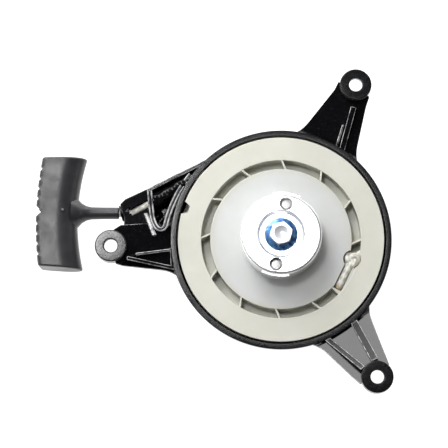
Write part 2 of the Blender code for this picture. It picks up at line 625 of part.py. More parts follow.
def winding_point(turn):
    """The wound rope: two turns beside each other, then two more on top of them."""
    down = ease(turn, 0.80, 0.95)
    up = ease(turn, 2.45, 2.60)
    radius = LAYER_1 + (LAYER_2 - LAYER_1) * ease(turn, 1.65, 1.80)
    height = ROPE_Z - (ROPE_Z - ROPE_LOW) * (down - up)
    return polar(radius, START_DEG + 360 * turn, height)


def make_rope():
    steps = 30
    count = math.ceil(TURNS * steps)
    turns = [TURNS * i / count for i in range(count + 1)]
    points = [winding_point(t) for t in turns]
    tube("rope_winding", points, ROPE_R, ROPE, REEL_AXIS)
    # the straight rope, and its bend in the eyelet
    inside = EYELET - EYELET_AXIS * 2.5 * MM
    outside = EYELET - Vector((MM, 0, 0))
    lead = [LEAVE - ROPE_WAY * GAP, LEAVE.lerp(inside, 0.5), inside + ROPE_WAY * 3 * MM, inside,
            EYELET, outside]
    tube("rope_lead", lead, ROPE_R, ROPE, HOUSING_AXIS)
    pull = [outside - Vector((GAP, 0, 0)), Vector((KNOT_X + 3 * MM, outside.y, ROPE_Z))]
    tube("rope_pull", pull, ROPE_R, ROPE, HANDLE_AXIS)


def make_reel_knot():
    knot = knot_place()
    bm = bmesh.new()
    bmesh.ops.create_uvsphere(bm, u_segments=14, v_segments=8, radius=KNOT_R)
    bmesh.ops.scale(bm, vec=(1, 1, 0.85), verts=bm.verts)
    bmesh.ops.translate(bm, vec=knot, verts=bm.verts)
    body = add_object("reel_knot", bm, ROPE, REEL_AXIS)
    tail, lead = tail_points(), lead_points()
    outer = (lead[0] - lead[-1]).normalized()
    combine(body, rod(tail[0], tail[-1], ROPE_R, 10), "UNION", REEL_AXIS)
    combine(body, rod(knot, lead[0] - outer * (ROPE_R + 2.3 * MM), ROPE_R, 10), "UNION", REEL_AXIS)


# ---------------------------------------------------------------- handle

def grip_outline():
    """Plan of the grip: a toothed outer side, a waisted stem side that flares into the stem."""
    half = GRIP_L / 2
    points = []
    # outer side, from the top down: a slight bow with small notches
    notches = [s * (TOOTH_STEP * 1.25 + TOOTH_STEP * i) for s in (-1, 1) for i in range(4)]
    rows = [half - 1.5 * MM, -half + 1.5 * MM]
    for y in sorted(notches, reverse=True):
        rows += [y + 1.2 * MM, y, y - 1.2 * MM]
    rows += [3.2 * MM, 0.0, -3.2 * MM]
    for y in sorted(rows, reverse=True):
        bow = 2.6 * MM * (y / half) ** 2
        depth = 1.5 * MM if y in notches else 4.0 * MM if y == 0 else 0.0
        points.append((GRIP_OUT + bow + depth, GRIP_Y + y))
    points.append((GRIP_OUT + 4.5 * MM, GRIP_Y - half))
    # stem side, from the bottom up
    for y in (-half, -0.72 * half, -0.5 * half, -0.36 * half):
        points.append((GRIP_IN + 4.6 * MM * (y / half) ** 2 - 1.2 * MM, GRIP_Y + y))
    for degrees in (60, 30, 0):
        spot = polar(5 * MM, 90 + degrees)
        points.append((GRIP_IN + 3.5 * MM + spot.x, STEM_Y - STEM_R - 5 * MM + spot.y + 0.3 * MM))
    for degrees in (0, 30, 60):
        spot = polar(5 * MM, 90 + degrees)
        points.append((GRIP_IN + 3.5 * MM + spot.x, STEM_Y + STEM_R + 5 * MM - spot.y - 0.3 * MM))
    for y in (0.36 * half, 0.5 * half, 0.72 * half, half):
        points.append((GRIP_IN + 4.6 * MM * (y / half) ** 2 - 1.2 * MM, GRIP_Y + y))
    points.append((GRIP_OUT + 4.5 * MM, GRIP_Y + half))
    return points


def grip_section():
    """Side view of the grip in X and Z: flat outer part, round towards the stem."""
    half, corner = GRIP_H / 2, 1.5 * MM
    out, flat = GRIP_OUT - MM, GRIP_OUT + 15 * MM
    reach = GRIP_IN + 6 * MM - flat
    points = [(out, -half + corner), (out + corner, -half), (flat, -half)]
    for degrees in (-65, -40, -18, 18, 40, 65):
        a = math.radians(degrees)
        points.append((flat + reach * math.cos(a), half * math.sin(a)))
    points += [(flat, half), (out + corner, half), (out, half - corner)]
    return points


def make_handle():
    center = Matrix.Translation((GRIP_IN, STEM_Y, 0))
    tilt = center @ Matrix.Rotation(math.radians(GRIP_TILT), 4, "Z") @ center.inverted()
    grip = prism(grip_outline(), ROPE_Z - GRIP_H, ROPE_Z + GRIP_H)
    grip.transform(tilt)
    handle = add_object("handle", grip, GREY_RUBBER, HANDLE_AXIS)
    bm = bmesh.new()
    face = bm.faces.new([bm.verts.new((x, STEM_Y - GRIP_L, ROPE_Z + z)) for x, z in grip_section()])
    extruded = bmesh.ops.extrude_face_region(bm, geom=[face])["geom"]
    moved = [v for v in extruded if isinstance(v, bmesh.types.BMVert)]
    bmesh.ops.translate(bm, vec=(0, 2 * GRIP_L, 0), verts=moved)
    bm.transform(tilt)
    combine(handle, bm, "INTERSECT", HANDLE_AXIS)
    stem = rod((GRIP_IN - 8 * MM, STEM_Y, ROPE_Z), (STEM_END, STEM_Y, ROPE_Z), STEM_R)
    combine(handle, stem, "UNION", HANDLE_AXIS)
    bore = rod((GRIP_OUT - 5 * MM, STEM_Y, ROPE_Z), (STEM_END + MM, STEM_Y, ROPE_Z), ROPE_R + GAP, 16)
    combine(handle, bore, "DIFFERENCE", HANDLE_AXIS)
    room = rod((GRIP_OUT - 5 * MM, STEM_Y, ROPE_Z), (KNOT_X + 5.8 * MM, STEM_Y, ROPE_Z), KNOT_ROOM_R)
    combine(handle, room, "DIFFERENCE", HANDLE_AXIS)
    # washer, and the knot that pulls on it
    profile = [(ROPE_R + GAP, 0), (KNOT_ROOM_R - GAP, 0), (KNOT_ROOM_R - GAP, MM), (ROPE_R + GAP, MM)]
    bm = turned(profile, SMALL)
    turn = Matrix.Rotation(math.radians(90), 4, "Y")
    bm.transform(Matrix.Translation((KNOT_X + 4.5 * MM, STEM_Y, ROPE_Z)) @ turn)
    add_object("handle_washer", bm, BRIGHT_STEEL, HANDLE_AXIS)
    bm = bmesh.new()
    bmesh.ops.create_uvsphere(bm, u_segments=14, v_segments=8, radius=HANDLE_KNOT_R)
    bmesh.ops.scale(bm, vec=(0.8, 1, 1), verts=bm.verts)
    bmesh.ops.translate(bm, vec=(KNOT_X - 1.4 * MM, STEM_Y, ROPE_Z), verts=bm.verts)
    add_object("handle_knot", bm, ROPE, HANDLE_AXIS)


# ---------------------------------------------------------------- ratchet

def make_cover():
    r, t, top = COVER_R, COVER_T, COVER_TOP
    low = top - COVER_H
    hole = SLEEVE_R + 0.4 * MM
    profile = [(r, low), (r, top - 1.5 * MM), (r - 0.44 * MM, top - 0.44 * MM), (r - 1.5 * MM, top),
               (DISH_R + 0.6 * MM, top), (DISH_R, top - 0.3 * MM),
               (DISH_FLOOR_R, DISH_TOP), (hole, DISH_TOP), (hole, DISH_TOP - t),
               (DISH_FLOOR_R + t / 2, DISH_TOP - t), (DISH_R + t, top - t), (r - t, top - t), (r - t, low)]
    cover = add_object("ratchet_cover", turned(profile, BIG), BRIGHT_STEEL, COVER_AXIS)
    for side in (0, 180):
        place = polar(PAWL_CIRCLE_R, PAWL_DEG + side)
        hole_tool = rod((place.x, place.y, top - 4 * MM), (place.x, place.y, top + MM), SIGHT_HOLE_R)
        combine(cover, hole_tool, "DIFFERENCE", COVER_AXIS)
        window = [*arc(r - t - 0.7 * MM, WINDOW_FROM + side, WINDOW_TO + side, 6),
                  *arc(r + 2 * MM, WINDOW_TO + side, WINDOW_FROM + side, 6)]
        combine(cover, prism(window, low - MM, top - WINDOW_LIP), "DIFFERENCE", COVER_AXIS)


def pawl_outline():
    """Plan of a pawl about its pin, +Y outwards: round boss, nose on the -X side."""
    tip_out = polar(COVER_R - COVER_T - 0.6 * MM, 90 + 19) - Vector((0, PAWL_CIRCLE_R, 0))
    tip_in = polar(COVER_R - COVER_T - 3.3 * MM, 90 + 19.5) - Vector((0, PAWL_CIRCLE_R, 0))
    boss = arc(PAWL_BOSS_R, 90, -130, 11)
    return [tip_in.to_2d(), tip_out.to_2d(), *boss]


def make_pawls():
    for number, side in ((1, 0), (2, 180)):
        place = polar(PAWL_CIRCLE_R, PAWL_DEG + side)
        pivot = axis_empty(f"pawl_{number}_pivot", place, REEL_AXIS)
        turn = Matrix.Rotation(math.radians(PAWL_DEG - 90 + side), 4, "Z")
        bm = prism(pawl_outline(), PAWL_Z, PAWL_Z + PAWL_H)
        bm.transform(Matrix.Translation(place) @ turn)
        pawl = add_object(f"pawl_{number}", bm, SPRING_STEEL, pivot)
        hole = rod((place.x, place.y, PAWL_Z - MM), (place.x, place.y, PIN_HEAD_Z + MM), PIN_R + GAP)
        combine(pawl, hole, "DIFFERENCE", pivot)
        foot = REEL_FACE - 1.0 * MM + GAP
        profile = [(0, foot), (PIN_R, foot), (PIN_R, PIN_HEAD_Z), (PIN_HEAD_R, PIN_HEAD_Z),
                   (PIN_HEAD_R, PIN_HEAD_Z + PIN_HEAD_H - 0.5 * MM),
                   (PIN_HEAD_R - 0.5 * MM, PIN_HEAD_Z + PIN_HEAD_H), (0, PIN_HEAD_Z + PIN_HEAD_H)]
        pin = turned(profile, SMALL, closed=False, center=place)
        add_object(f"pawl_pin_{number}", pin, BRIGHT_STEEL, REEL_AXIS)
        wire = 0.35 * MM
        loops = coil(PIN_R + GAP + 0.3 * MM + 2 * wire, HUB_TOP - 3.2 * MM + wire + GAP,
                     HUB_TOP - wire, 2.75, 10, place.to_2d())
        tube(f"pawl_spring_{number}", loops, wire, SPRING_STEEL, REEL_AXIS, sides=1)


def make_centre():
    washer = [(BOLT_R + 0.4 * MM, WASHER_Z), (THRUST_R, WASHER_Z), (THRUST_R, WASHER_Z + WASHER_T),
              (BOLT_R + 0.4 * MM, WASHER_Z + WASHER_T)]
    add_object("thrust_washer", turned(washer, MEDIUM), BRIGHT_STEEL, HOUSING_AXIS)
    sleeve = [(BOLT_R + 0.4 * MM, SLEEVE_Z), (SLEEVE_R, SLEEVE_Z), (SLEEVE_R, BOLT_Z - GAP),
              (BOLT_R + 0.4 * MM, BOLT_Z - GAP)]
    add_object("hub_sleeve", turned(sleeve, MEDIUM), BRIGHT_STEEL, HOUSING_AXIS)
    brake_high = DISH_TOP - COVER_T - 0.4 * MM
    brake_low = brake_high - BRAKE_T
    brake_in = SLEEVE_R + 0.4 * MM
    brake = [(brake_in, brake_low), (BRAKE_R, brake_low), (BRAKE_R, brake_high), (brake_in, brake_high)]
    add_object("brake_washer", turned(brake, MEDIUM), SPRING_STEEL, HOUSING_AXIS)
    wire = BRAKE_WIRE_R
    loops = coil((SLEEVE_R + BRAKE_R) / 2, WASHER_Z + WASHER_T + GAP + wire, brake_low - GAP - wire, 2.5, 16)
    tube("brake_spring", loops, wire, SPRING_STEEL, HOUSING_AXIS, sides=1)
    profile = [(0, 13 * MM), (BOLT_R - 0.6 * MM, 13 * MM), (BOLT_R, 14 * MM), (BOLT_R, BOLT_Z),
               (BOLT_FLANGE_R, BOLT_Z), (BOLT_FLANGE_R, BOLT_Z + 0.8 * MM),
               (BOLT_AF / 2 + 0.9 * MM, BOLT_Z + 2.0 * MM), (0, BOLT_Z + 2.0 * MM)]
    bolt = add_object("centre_bolt", turned(profile, MEDIUM, closed=False), BLUE_ZINC, HOUSING_AXIS)
    corner = BOLT_AF / 2 / math.cos(math.pi / 6)
    head = prism([polar(corner, 60 * i + 15).to_2d() for i in range(6)], BOLT_Z + MM,
                 BOLT_Z + BOLT_HEAD_H)
    combine(bolt, head, "UNION")
    dimple = turned([(0, BOLT_Z + BOLT_HEAD_H - 0.9 * MM), (3.2 * MM, BOLT_Z + BOLT_HEAD_H - 0.6 * MM),
                     (4.4 * MM, BOLT_Z + BOLT_HEAD_H + MM), (0, BOLT_Z + BOLT_HEAD_H + MM)], SMALL,
                    closed=False)
    combine(bolt, dimple, "DIFFERENCE")


make_housing()
make_eyelet()
make_spring_case()
make_mainspring()
make_reel()
make_bush()
make_rope()
make_reel_knot()
make_handle()
make_cover()
make_pawls()
make_centre()
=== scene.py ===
# %% [markdown]
# # A recoil starter, finished for its picture
# The frame holds the working CAD model of the starter: a cast housing, a nylon reel with its
# rope, a steel ratchet in the middle and a rubber handle. This script gives every piece the
# shape and the finish of the real one. The frame comes first, since nearly every new piece rides
# on one of its bodies.

# %% Load the frame
import math

import bmesh
import bpy
from mathutils import Matrix, Vector, noise


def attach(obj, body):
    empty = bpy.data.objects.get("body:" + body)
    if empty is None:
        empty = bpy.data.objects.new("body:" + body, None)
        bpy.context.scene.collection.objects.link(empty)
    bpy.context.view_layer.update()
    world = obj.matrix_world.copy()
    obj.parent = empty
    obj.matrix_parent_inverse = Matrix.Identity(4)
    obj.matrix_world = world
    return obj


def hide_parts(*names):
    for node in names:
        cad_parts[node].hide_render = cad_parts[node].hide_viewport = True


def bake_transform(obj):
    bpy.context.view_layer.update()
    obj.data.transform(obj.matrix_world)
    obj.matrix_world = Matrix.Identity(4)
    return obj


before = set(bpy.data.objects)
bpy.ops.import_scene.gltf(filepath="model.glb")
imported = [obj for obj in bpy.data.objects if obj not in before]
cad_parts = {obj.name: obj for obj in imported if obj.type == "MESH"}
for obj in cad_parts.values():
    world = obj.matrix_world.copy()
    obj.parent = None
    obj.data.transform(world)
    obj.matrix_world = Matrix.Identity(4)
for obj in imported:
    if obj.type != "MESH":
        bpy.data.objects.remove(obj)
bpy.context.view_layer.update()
MM = 0.001

# %% [markdown]
# ## Camera
# A product picture is taken from far away with a long lens, so that round things stay round. The
# camera looks down on the engine side of the starter, leaning a little towards the near edge.
# Its axes are worked out here, and a small roll levels the picture.

# %% Camera
TARGET = Vector((-33.8, 8.9, 28.0)) * MM
DISTANCE = 1.2
VIEW_ANGLE, LEAN_X, LEAN_Y, ROLL = (math.radians(angle) for angle in (12.66, -1.21, 8.98, -0.06))
camera_data = bpy.data.cameras.new("camera")
camera_data.lens_unit = "FOV"
camera_data.angle = VIEW_ANGLE
camera = bpy.data.objects.new("camera", camera_data)
bpy.context.scene.collection.objects.link(camera)
lean_x, lean_y = math.sin(LEAN_X), math.sin(LEAN_Y)
back = Vector((-lean_x, -lean_y, math.sqrt(1 - lean_x ** 2 - lean_y ** 2)))
right = (Vector((1, 0, 0)) - back * back.x).normalized()
right = Matrix.Rotation(ROLL, 3, back) @ right
placed = Matrix((right, back.cross(right), back)).transposed().to_4x4()
placed.translation = TARGET + back * DISTANCE
camera.matrix_world = placed
bpy.context.scene.camera = camera
print("camera at", [round(v, 3) for v in placed.translation])

# %% [markdown]
# ## Floor and light
# The studio is a white table that glows, as a light table does, so that no hard shadow falls on
# it. Two big soft boxes stand behind the starter at the left, and two small ones overhead light
# the handle and the cup. Black paint looks black when what it mirrors is dark, so the sky is dim
# overhead and on the right, and bright only low down at the left.

# %% Floor
FLOOR_R, FLOOR_DOWN, FLOOR_GREY, FLOOR_GLOW = 3.0, 0.2, 0.4, 0.98
floor_bm = bmesh.new()
bmesh.ops.create_circle(floor_bm, cap_ends=True, segments=64, radius=FLOOR_R)
bmesh.ops.translate(floor_bm, vec=(0, 0, -FLOOR_DOWN * MM), verts=floor_bm.verts)
floor_mesh = bpy.data.meshes.new("floor")
floor_bm.to_mesh(floor_mesh)
floor_bm.free()
floor = bpy.data.objects.new("floor", floor_mesh)
bpy.context.scene.collection.objects.link(floor)
floor_paint = bpy.data.materials.new("floor_paint")
floor_paint.use_nodes = True
floor_shader = floor_paint.node_tree.nodes["Principled BSDF"]
floor_shader.inputs["Base Color"].default_value = (*[FLOOR_GREY] * 3, 1)
floor_shader.inputs["Roughness"].default_value = 0.7
floor_shader.inputs["Specular IOR Level"].default_value = 0.1
floor_shader.inputs["Emission Color"].default_value = (1, 1, 1, 1)
floor_shader.inputs["Emission Strength"].default_value = FLOOR_GLOW
floor_mesh.materials.append(floor_paint)
print("floor radius:", FLOOR_R, "m")


# %% Lights
# Each soft box has its place, the point that it faces, its side in metres and its power in watts.
SOFT_BOXES = {
    "key": ((-0.58, 1.08, 1.02), (0, 0, 0), 0.75, 16.5),
    "high_side": ((-0.75, 1.0, 1.6), (0, 0, 0), 1.3, 9),
    "over_handle": ((-0.37, 0.37, 2.0), (-0.14, 0, 0), 0.26, 9.5),
    "over_cup": ((0.014, 0.30, 2.0), (0, 0, 0), 0.2, 1.1),
}
for name, (place, aim, size, power) in SOFT_BOXES.items():
    light_data = bpy.data.lights.new(name, "AREA")
    light_data.size = size
    light_data.energy = power
    light = bpy.data.objects.new(name, light_data)
    bpy.context.scene.collection.objects.link(light)
    light.location = place
    light.rotation_euler = (Vector(aim) - light.location).to_track_quat("-Z", "Y").to_euler()
print("soft boxes:", ", ".join(SOFT_BOXES))

# %% Sky
# A fade has a direction, the two shares of it where the fade starts and ends, and the strengths
# there.
UP_FADE = ((0, 0, 1), 0.12, 0.45, 5.0, 0.28)
SIDE_FADE = ((-0.6, 0.8, 0), -0.3, 0.3, 0.12, 1.0)
world = bpy.data.worlds.new("studio")
world.use_nodes = True
sky = world.node_tree
ray = sky.nodes.new("ShaderNodeTexCoord").outputs["Generated"]


def sky_fade(direction, start, end, low, high):
    """A strength that changes with how far a ray points one way."""
    share = sky.nodes.new("ShaderNodeVectorMath")
    share.operation = "DOT_PRODUCT"
    sky.links.new(ray, share.inputs[0])
    share.inputs[1].default_value = direction
    fade = sky.nodes.new("ShaderNodeMapRange")
    sky.links.new(share.outputs["Value"], fade.inputs["Value"])
    for key, value in (("From Min", start), ("From Max", end), ("To Min", low), ("To Max", high)):
        fade.inputs[key].default_value = value
    return fade.outputs[0]


glow = sky.nodes.new("ShaderNodeMath")
glow.operation = "MULTIPLY"
sky.links.new(sky_fade(*UP_FADE), glow.inputs[0])
sky.links.new(sky_fade(*SIDE_FADE), glow.inputs[1])
sky.links.new(glow.outputs[0], sky.nodes["Background"].inputs["Strength"])
sky.nodes["Background"].inputs["Color"].default_value = (1, 1, 1, 1)
bpy.context.scene.world = world
bpy.context.scene.view_settings.view_transform = "Standard"
print("sky nodes:", len(sky.nodes))

# %% [markdown]
# ## Building materials
# Each finish is a Principled shader with a few nodes in front of it. Small helpers keep the node
# building short: one adds a node and wires it, one starts a finish, and the rest are the steps
# that most finishes share, such as noise, a colour ramp and fine relief.


# %% Material helpers
def add(tree, kind, inputs=(), **settings):
    """Add a node. Inputs are (socket, value or output socket) pairs."""
    node = tree.nodes.new("ShaderNode" + kind)
    for key, value in settings.items():
        setattr(node, key, value)
    for key, value in inputs:
        if isinstance(value, bpy.types.NodeSocket):
            tree.links.new(value, node.inputs[key])
        else:
            node.inputs[key].default_value = value
    return node


def start_finish(name, colour, roughness, metallic=0.0, **sockets):
    """A new material, with its node tree and its shader."""
    material = bpy.data.materials.new(name)
    material.use_nodes = True
    tree = material.node_tree
    shader = tree.nodes["Principled BSDF"]
    shader.inputs["Base Color"].default_value = (*colour, 1)
    shader.inputs["Roughness"].default_value = roughness
    shader.inputs["Metallic"].default_value = metallic
    for key, value in sockets.items():
        shader.inputs[key.replace("_", " ")].default_value = value
    return material, tree, shader


def ramp(tree, factor, stops):
    """Colours along a 0 to 1 value, as (position, colour) stops."""
    node = add(tree, "ValToRGB", [(0, factor)])
    while len(node.color_ramp.elements) < len(stops):
        node.color_ramp.elements.new(0.5)
    for element, (position, colour) in zip(node.color_ramp.elements, stops):
        element.position = position
        element.color = (*colour, 1)
    return node.outputs[0]


def grain(tree, scale, detail=4.0):
    """Noise on the piece's own coordinates, with a scale per metre. Returns its 0 to 1 value."""
    place = add(tree, "TexCoord").outputs["Object"]
    sockets = [("Vector", place), ("Scale", scale), ("Detail", detail)]
    return add(tree, "TexNoise", sockets).outputs[0]


def vary(tree, shader, socket, factor, low, high):
    """Let a 0 to 1 value move a shader input between two values."""
    spread = add(tree, "MapRange", [(0, factor), (1, 0.3), (2, 0.7), (3, low), (4, high)])
    tree.links.new(spread.outputs[0], shader.inputs[socket])


def bump(tree, shader, height, strength, distance):
    """Fine relief, with a depth in metres."""
    node = add(tree, "Bump", [("Strength", strength), ("Distance", distance), ("Height", height)])
    tree.links.new(node.outputs[0], shader.inputs["Normal"])


def radius_of(tree):
    """Distance from the reel's axis in metres, for turned finishes."""
    split = add(tree, "SeparateXYZ", [(0, add(tree, "TexCoord").outputs["Object"])])
    flat = add(tree, "CombineXYZ", [(0, split.outputs[0]), (1, split.outputs[1])])
    return add(tree, "VectorMath", [(0, flat.outputs[0])], operation="LENGTH").outputs["Value"]


# %% [markdown]
# ## Black paint on the casting
# The housing is an aluminium casting with thick gloss paint. Gloss paint shows orange peel, a
# slow waviness of a few millimetres, with a little dust. So the roughness wanders a bit, and
# two sizes of noise give the relief. The edges of ribs and walls get a second finish, a patchy
# light grey with strong gloss, which is a painted highlight for the lines of light along them.

# %% Black paint
BLACK, tree, shader = start_finish("black_paint", (0.004, 0.004, 0.005), 0.2)
shader.inputs["Specular IOR Level"].default_value = 0.27
peel, fine = grain(tree, 260, 3.0), grain(tree, 1900, 2.0)
both = add(tree, "Math", [(0, peel), (1, fine)], operation="ADD").outputs[0]
bump(tree, shader, both, 0.2, 0.12 * MM)
vary(tree, shader, "Roughness", grain(tree, 90, 5.0), 0.11, 0.19)
dust = ramp(tree, grain(tree, 700, 6.0),
            [(0.5, (0.003, 0.003, 0.004)), (0.85, (0.012, 0.012, 0.013))])
tree.links.new(dust, shader.inputs["Base Color"])
print("black paint:", len(tree.nodes), "nodes")

# %% Painted edge highlights
# A patchy light grey on the rounded edges: a painted highlight for the lines of light along them.
EDGE_HIGHLIGHT, tree, shader = start_finish("black_paint_edge_highlight", (0.2, 0.2, 0.2), 0.25)
shader.inputs["Specular IOR Level"].default_value = 0.9
painted_edge_light = ramp(tree, grain(tree, 240, 4.0),
              [(0.35, (0.03, 0.03, 0.03)), (0.6, (0.42, 0.42, 0.43))])
tree.links.new(painted_edge_light, shader.inputs["Base Color"])
bump(tree, shader, grain(tree, 900, 3.0), 0.2, 0.1 * MM)
print("worn edges:", len(tree.nodes), "nodes")

# %% [markdown]
# ## Nylon
# The reel is moulded in natural nylon, which is creamy and lets some light through. The rim lies
# over the rope and looks yellower, and the thin disc in the middle looks greyer. So the colour
# follows the distance from the axis, and subsurface light softens the edges. Where the groove
# starts the colour dips darker and more olive, which is painted shade in the groove.

# %% Nylon
NYLON, tree, shader = start_finish("nylon_moulding", (0.74, 0.73, 0.62), 0.42)
shader.inputs["Subsurface Weight"].default_value = 0.25
shader.inputs["Subsurface Radius"].default_value = (1.0, 0.9, 0.6)
shader.inputs["Subsurface Scale"].default_value = 1.5 * MM
ZONE_IN, ZONE_OUT = 38, 50
zones = add(tree, "MapRange", [(0, radius_of(tree)), (1, ZONE_IN * MM), (2, ZONE_OUT * MM)]).outputs[0]
# The stop at 0.35 lies at the groove's inner edge: its darker olive is painted shade in the groove.
zone_tone_and_shade = ramp(tree, zones, [(0.0, (0.59, 0.60, 0.60)), (0.35, (0.56, 0.56, 0.51)),
                                 (0.7, (0.62, 0.62, 0.56)), (1.0, (0.645, 0.64, 0.575))])
cloud = ramp(tree, grain(tree, 55, 5.0), [(0.3, (0.93, 0.93, 0.90)), (0.7, (1, 1, 1))])
tinted = add(tree, "Mix", [("Factor", 1.0), (6, zone_tone_and_shade), (7, cloud)], data_type="RGBA",
             blend_type="MULTIPLY").outputs[2]
tree.links.new(tinted, shader.inputs["Base Color"])
bump(tree, shader, grain(tree, 900, 3.0), 0.12, 0.1 * MM)
vary(tree, shader, "Roughness", grain(tree, 120, 4.0), 0.36, 0.5)
print("nylon:", len(tree.nodes), "nodes")

# %% [markdown]
# ## Metals
# The ratchet cover is pressed and zinc plated, bright with faint turning marks. Round the bolt
# it is tinted pale blue, a painted reflection of the blue flange. The bolt's flange is blue from
# its plating and its head is paler. Springs are dark drawn wire, and the bush is sintered bronze.
# Turning marks are noise along the radius only, which makes rings.


# %% Metals
def turned_metal(name, colour, roughness, ring_scale, depth=0.02 * MM, metallic=1.0):
    """Bright metal with rings about the reel's axis."""
    material, tree, shader = start_finish(name, colour, roughness, metallic)
    along = add(tree, "CombineXYZ", [(0, radius_of(tree))]).outputs[0]
    sockets = [("Vector", along), ("Scale", ring_scale), ("Detail", 3.0)]
    rings = add(tree, "TexNoise", sockets).outputs[0]
    bump(tree, shader, rings, 0.25, depth)
    vary(tree, shader, "Roughness", grain(tree, 260, 4.0), roughness - 0.05, roughness + 0.07)
    return material, tree, shader


# %% Bright cover
BRIGHT, tree, shader = turned_metal("bright_plate", (0.93, 0.93, 0.93), 0.2, 2600, metallic=0.75)
# A pale blue ring round the bolt's flange: a painted reflection of the blue flange.
BLUE_REFLECTION_IN, BLUE_REFLECTION_OUT = 10.2, 12.2
blue_reflection = add(tree, "MapRange", [(0, radius_of(tree)), (1, BLUE_REFLECTION_IN * MM), (2, BLUE_REFLECTION_OUT * MM)]).outputs[0]
tint = ramp(tree, blue_reflection, [(0.0, (0.78, 0.85, 0.94)), (1.0, (0.93, 0.93, 0.93))])
tree.links.new(tint, shader.inputs["Base Color"])
print("bright cover:", len(tree.nodes), "nodes")

# %% Bolt and other metals
BLUE, tree, shader = turned_metal("blue_zinc_plate", (0.2, 0.36, 0.6), 0.26, 3200, metallic=0.6)
patches = ramp(tree, grain(tree, 420, 3.0), [(0.35, (0.03, 0.10, 0.32)), (0.6, (0.12, 0.30, 0.60)),
                                             (0.75, (0.50, 0.66, 0.84))])
tree.links.new(patches, shader.inputs["Base Color"])
HEAD = turned_metal("bolt_head_plate", (0.86, 0.88, 0.92), 0.22, 3000, metallic=0.4)[0]
PIN = turned_metal("pin_steel", (0.55, 0.55, 0.54), 0.3, 2600, metallic=0.5)[0]
BLACKENED = turned_metal("blackened_steel", (0.03, 0.03, 0.033), 0.3, 2600)[0]
SPRING = turned_metal("spring_steel", (0.30, 0.31, 0.34), 0.36, 1500)[0]
BRONZE = turned_metal("sintered_bronze", (0.58, 0.39, 0.20), 0.45, 1200, 0.03 * MM)[0]
print("metals made")

# %% [markdown]
# ## Rubber and rope
# The handle is grey rubber with a fine spark-eroded texture. The rope is white braided polyester.
# A braid pattern has to follow the rope, so a braided piece carries its own UV map, along the
# rope and around it, and the strands are two crossed waves on that map. The dips between the
# strands are painted darker, which is painted shade between the strands.

# %% Rubber
RUBBER, tree, shader = start_finish("grey_rubber", (0.03, 0.03, 0.033), 0.34)
bump(tree, shader, grain(tree, 2600, 4.0), 0.25, 0.06 * MM)
vary(tree, shader, "Roughness", grain(tree, 140, 4.0), 0.3, 0.4)
shade = ramp(tree, grain(tree, 160, 6.0),
             [(0.3, (0.024, 0.024, 0.027)), (0.7, (0.036, 0.036, 0.040))])
tree.links.new(shade, shader.inputs["Base Color"])
print("rubber:", len(tree.nodes), "nodes")


# %% Rope
WAVES_PER_RADIAN, WAVES_PER_METRE = 55.0, 900.0


def times(tree, value, factor):
    """A value times a factor, either of which may be a socket."""
    return add(tree, "Math", [(0, value), (1, factor)], operation="MULTIPLY").outputs[0]


def rope_finish(name, uses_uv):
    """White braid. Pieces without a UV map read the angle about the reel's axis instead."""
    material, tree, shader = start_finish(name, (0.80, 0.79, 0.72), 0.8, 0.0, Sheen_Weight=0.3)
    if uses_uv:
        split = add(tree, "SeparateXYZ", [(0, add(tree, "TexCoord").outputs["UV"])])
        along, around = split.outputs[0], split.outputs[1]
    else:
        split = add(tree, "SeparateXYZ", [(0, add(tree, "TexCoord").outputs["Object"])])
        angle = add(tree, "Math", [(0, split.outputs[1]), (1, split.outputs[0])], operation="ARCTAN2")
        along = times(tree, angle.outputs[0], WAVES_PER_RADIAN)
        around = times(tree, split.outputs[2], WAVES_PER_METRE)
    waves = []
    for sign in ("ADD", "SUBTRACT"):
        turn = add(tree, "Math", [(0, along), (1, around)], operation=sign).outputs[0]
        waves.append(add(tree, "Math", [(0, turn)], operation="SINE").outputs[0])
    level = add(tree, "MapRange", [(0, times(tree, *waves)), (1, -1.0), (2, 1.0)]).outputs[0]
    # The dark low stop is painted shade in the dips between the strands.
    colour = ramp(tree, level, [(0.15, (0.50, 0.48, 0.41)), (0.5, (0.78, 0.77, 0.70)),
                                (1.0, (0.86, 0.85, 0.80))])
    tree.links.new(colour, shader.inputs["Base Color"])
    bump(tree, shader, level, 0.5, 0.3 * MM)
    return material


ROPE = rope_finish("rope_braid", True)
ROPE_WOUND = rope_finish("rope_wound_braid", False)
SEALED, tree, shader = start_finish("rope_sealed_end", (0.50, 0.36, 0.20), 0.35)
bump(tree, shader, grain(tree, 900, 3.0), 0.5, 0.3 * MM)
brown = ramp(tree, grain(tree, 600, 4.0), [(0.3, (0.36, 0.24, 0.12)), (0.7, (0.62, 0.50, 0.34))])
tree.links.new(brown, shader.inputs["Base Color"])
print("rope finishes made")

# %% [markdown]
# ## Modelling helpers
# Nearly every piece is either turned about an axis or cut from a plan outline. Both start with a
# few points, then an operator does the work: spin for the turned ones and extrude for the plates.
# Rounded edges matter most on a glossy casting, because that is where the light lines sit, so one
# helper bevels every edge that is sharper than a given angle.


# %% Modelling helpers
def polar(radius, degrees, z=0.0):
    """A point from a radius and a height in millimetres and an angle."""
    a = math.radians(degrees)
    return Vector((radius * math.cos(a), radius * math.sin(a), z)) * MM


def spun(profile, steps=160, closed=True):
    """Turn (radius, height) points in millimetres about Z."""
    bm = bmesh.new()
    verts = [bm.verts.new((r * MM, 0, z * MM)) for r, z in profile]
    pairs = list(zip(verts, verts[1:])) + ([(verts[-1], verts[0])] if closed else [])
    edges = [bm.edges.new(pair) for pair in pairs]
    bmesh.ops.spin(bm, geom=verts + edges, cent=(0, 0, 0), axis=(0, 0, 1), angle=math.tau,
                   steps=steps, use_merge=True)
    bmesh.ops.remove_doubles(bm, verts=bm.verts, dist=1e-7)
    bmesh.ops.recalc_face_normals(bm, faces=bm.faces)
    return bm


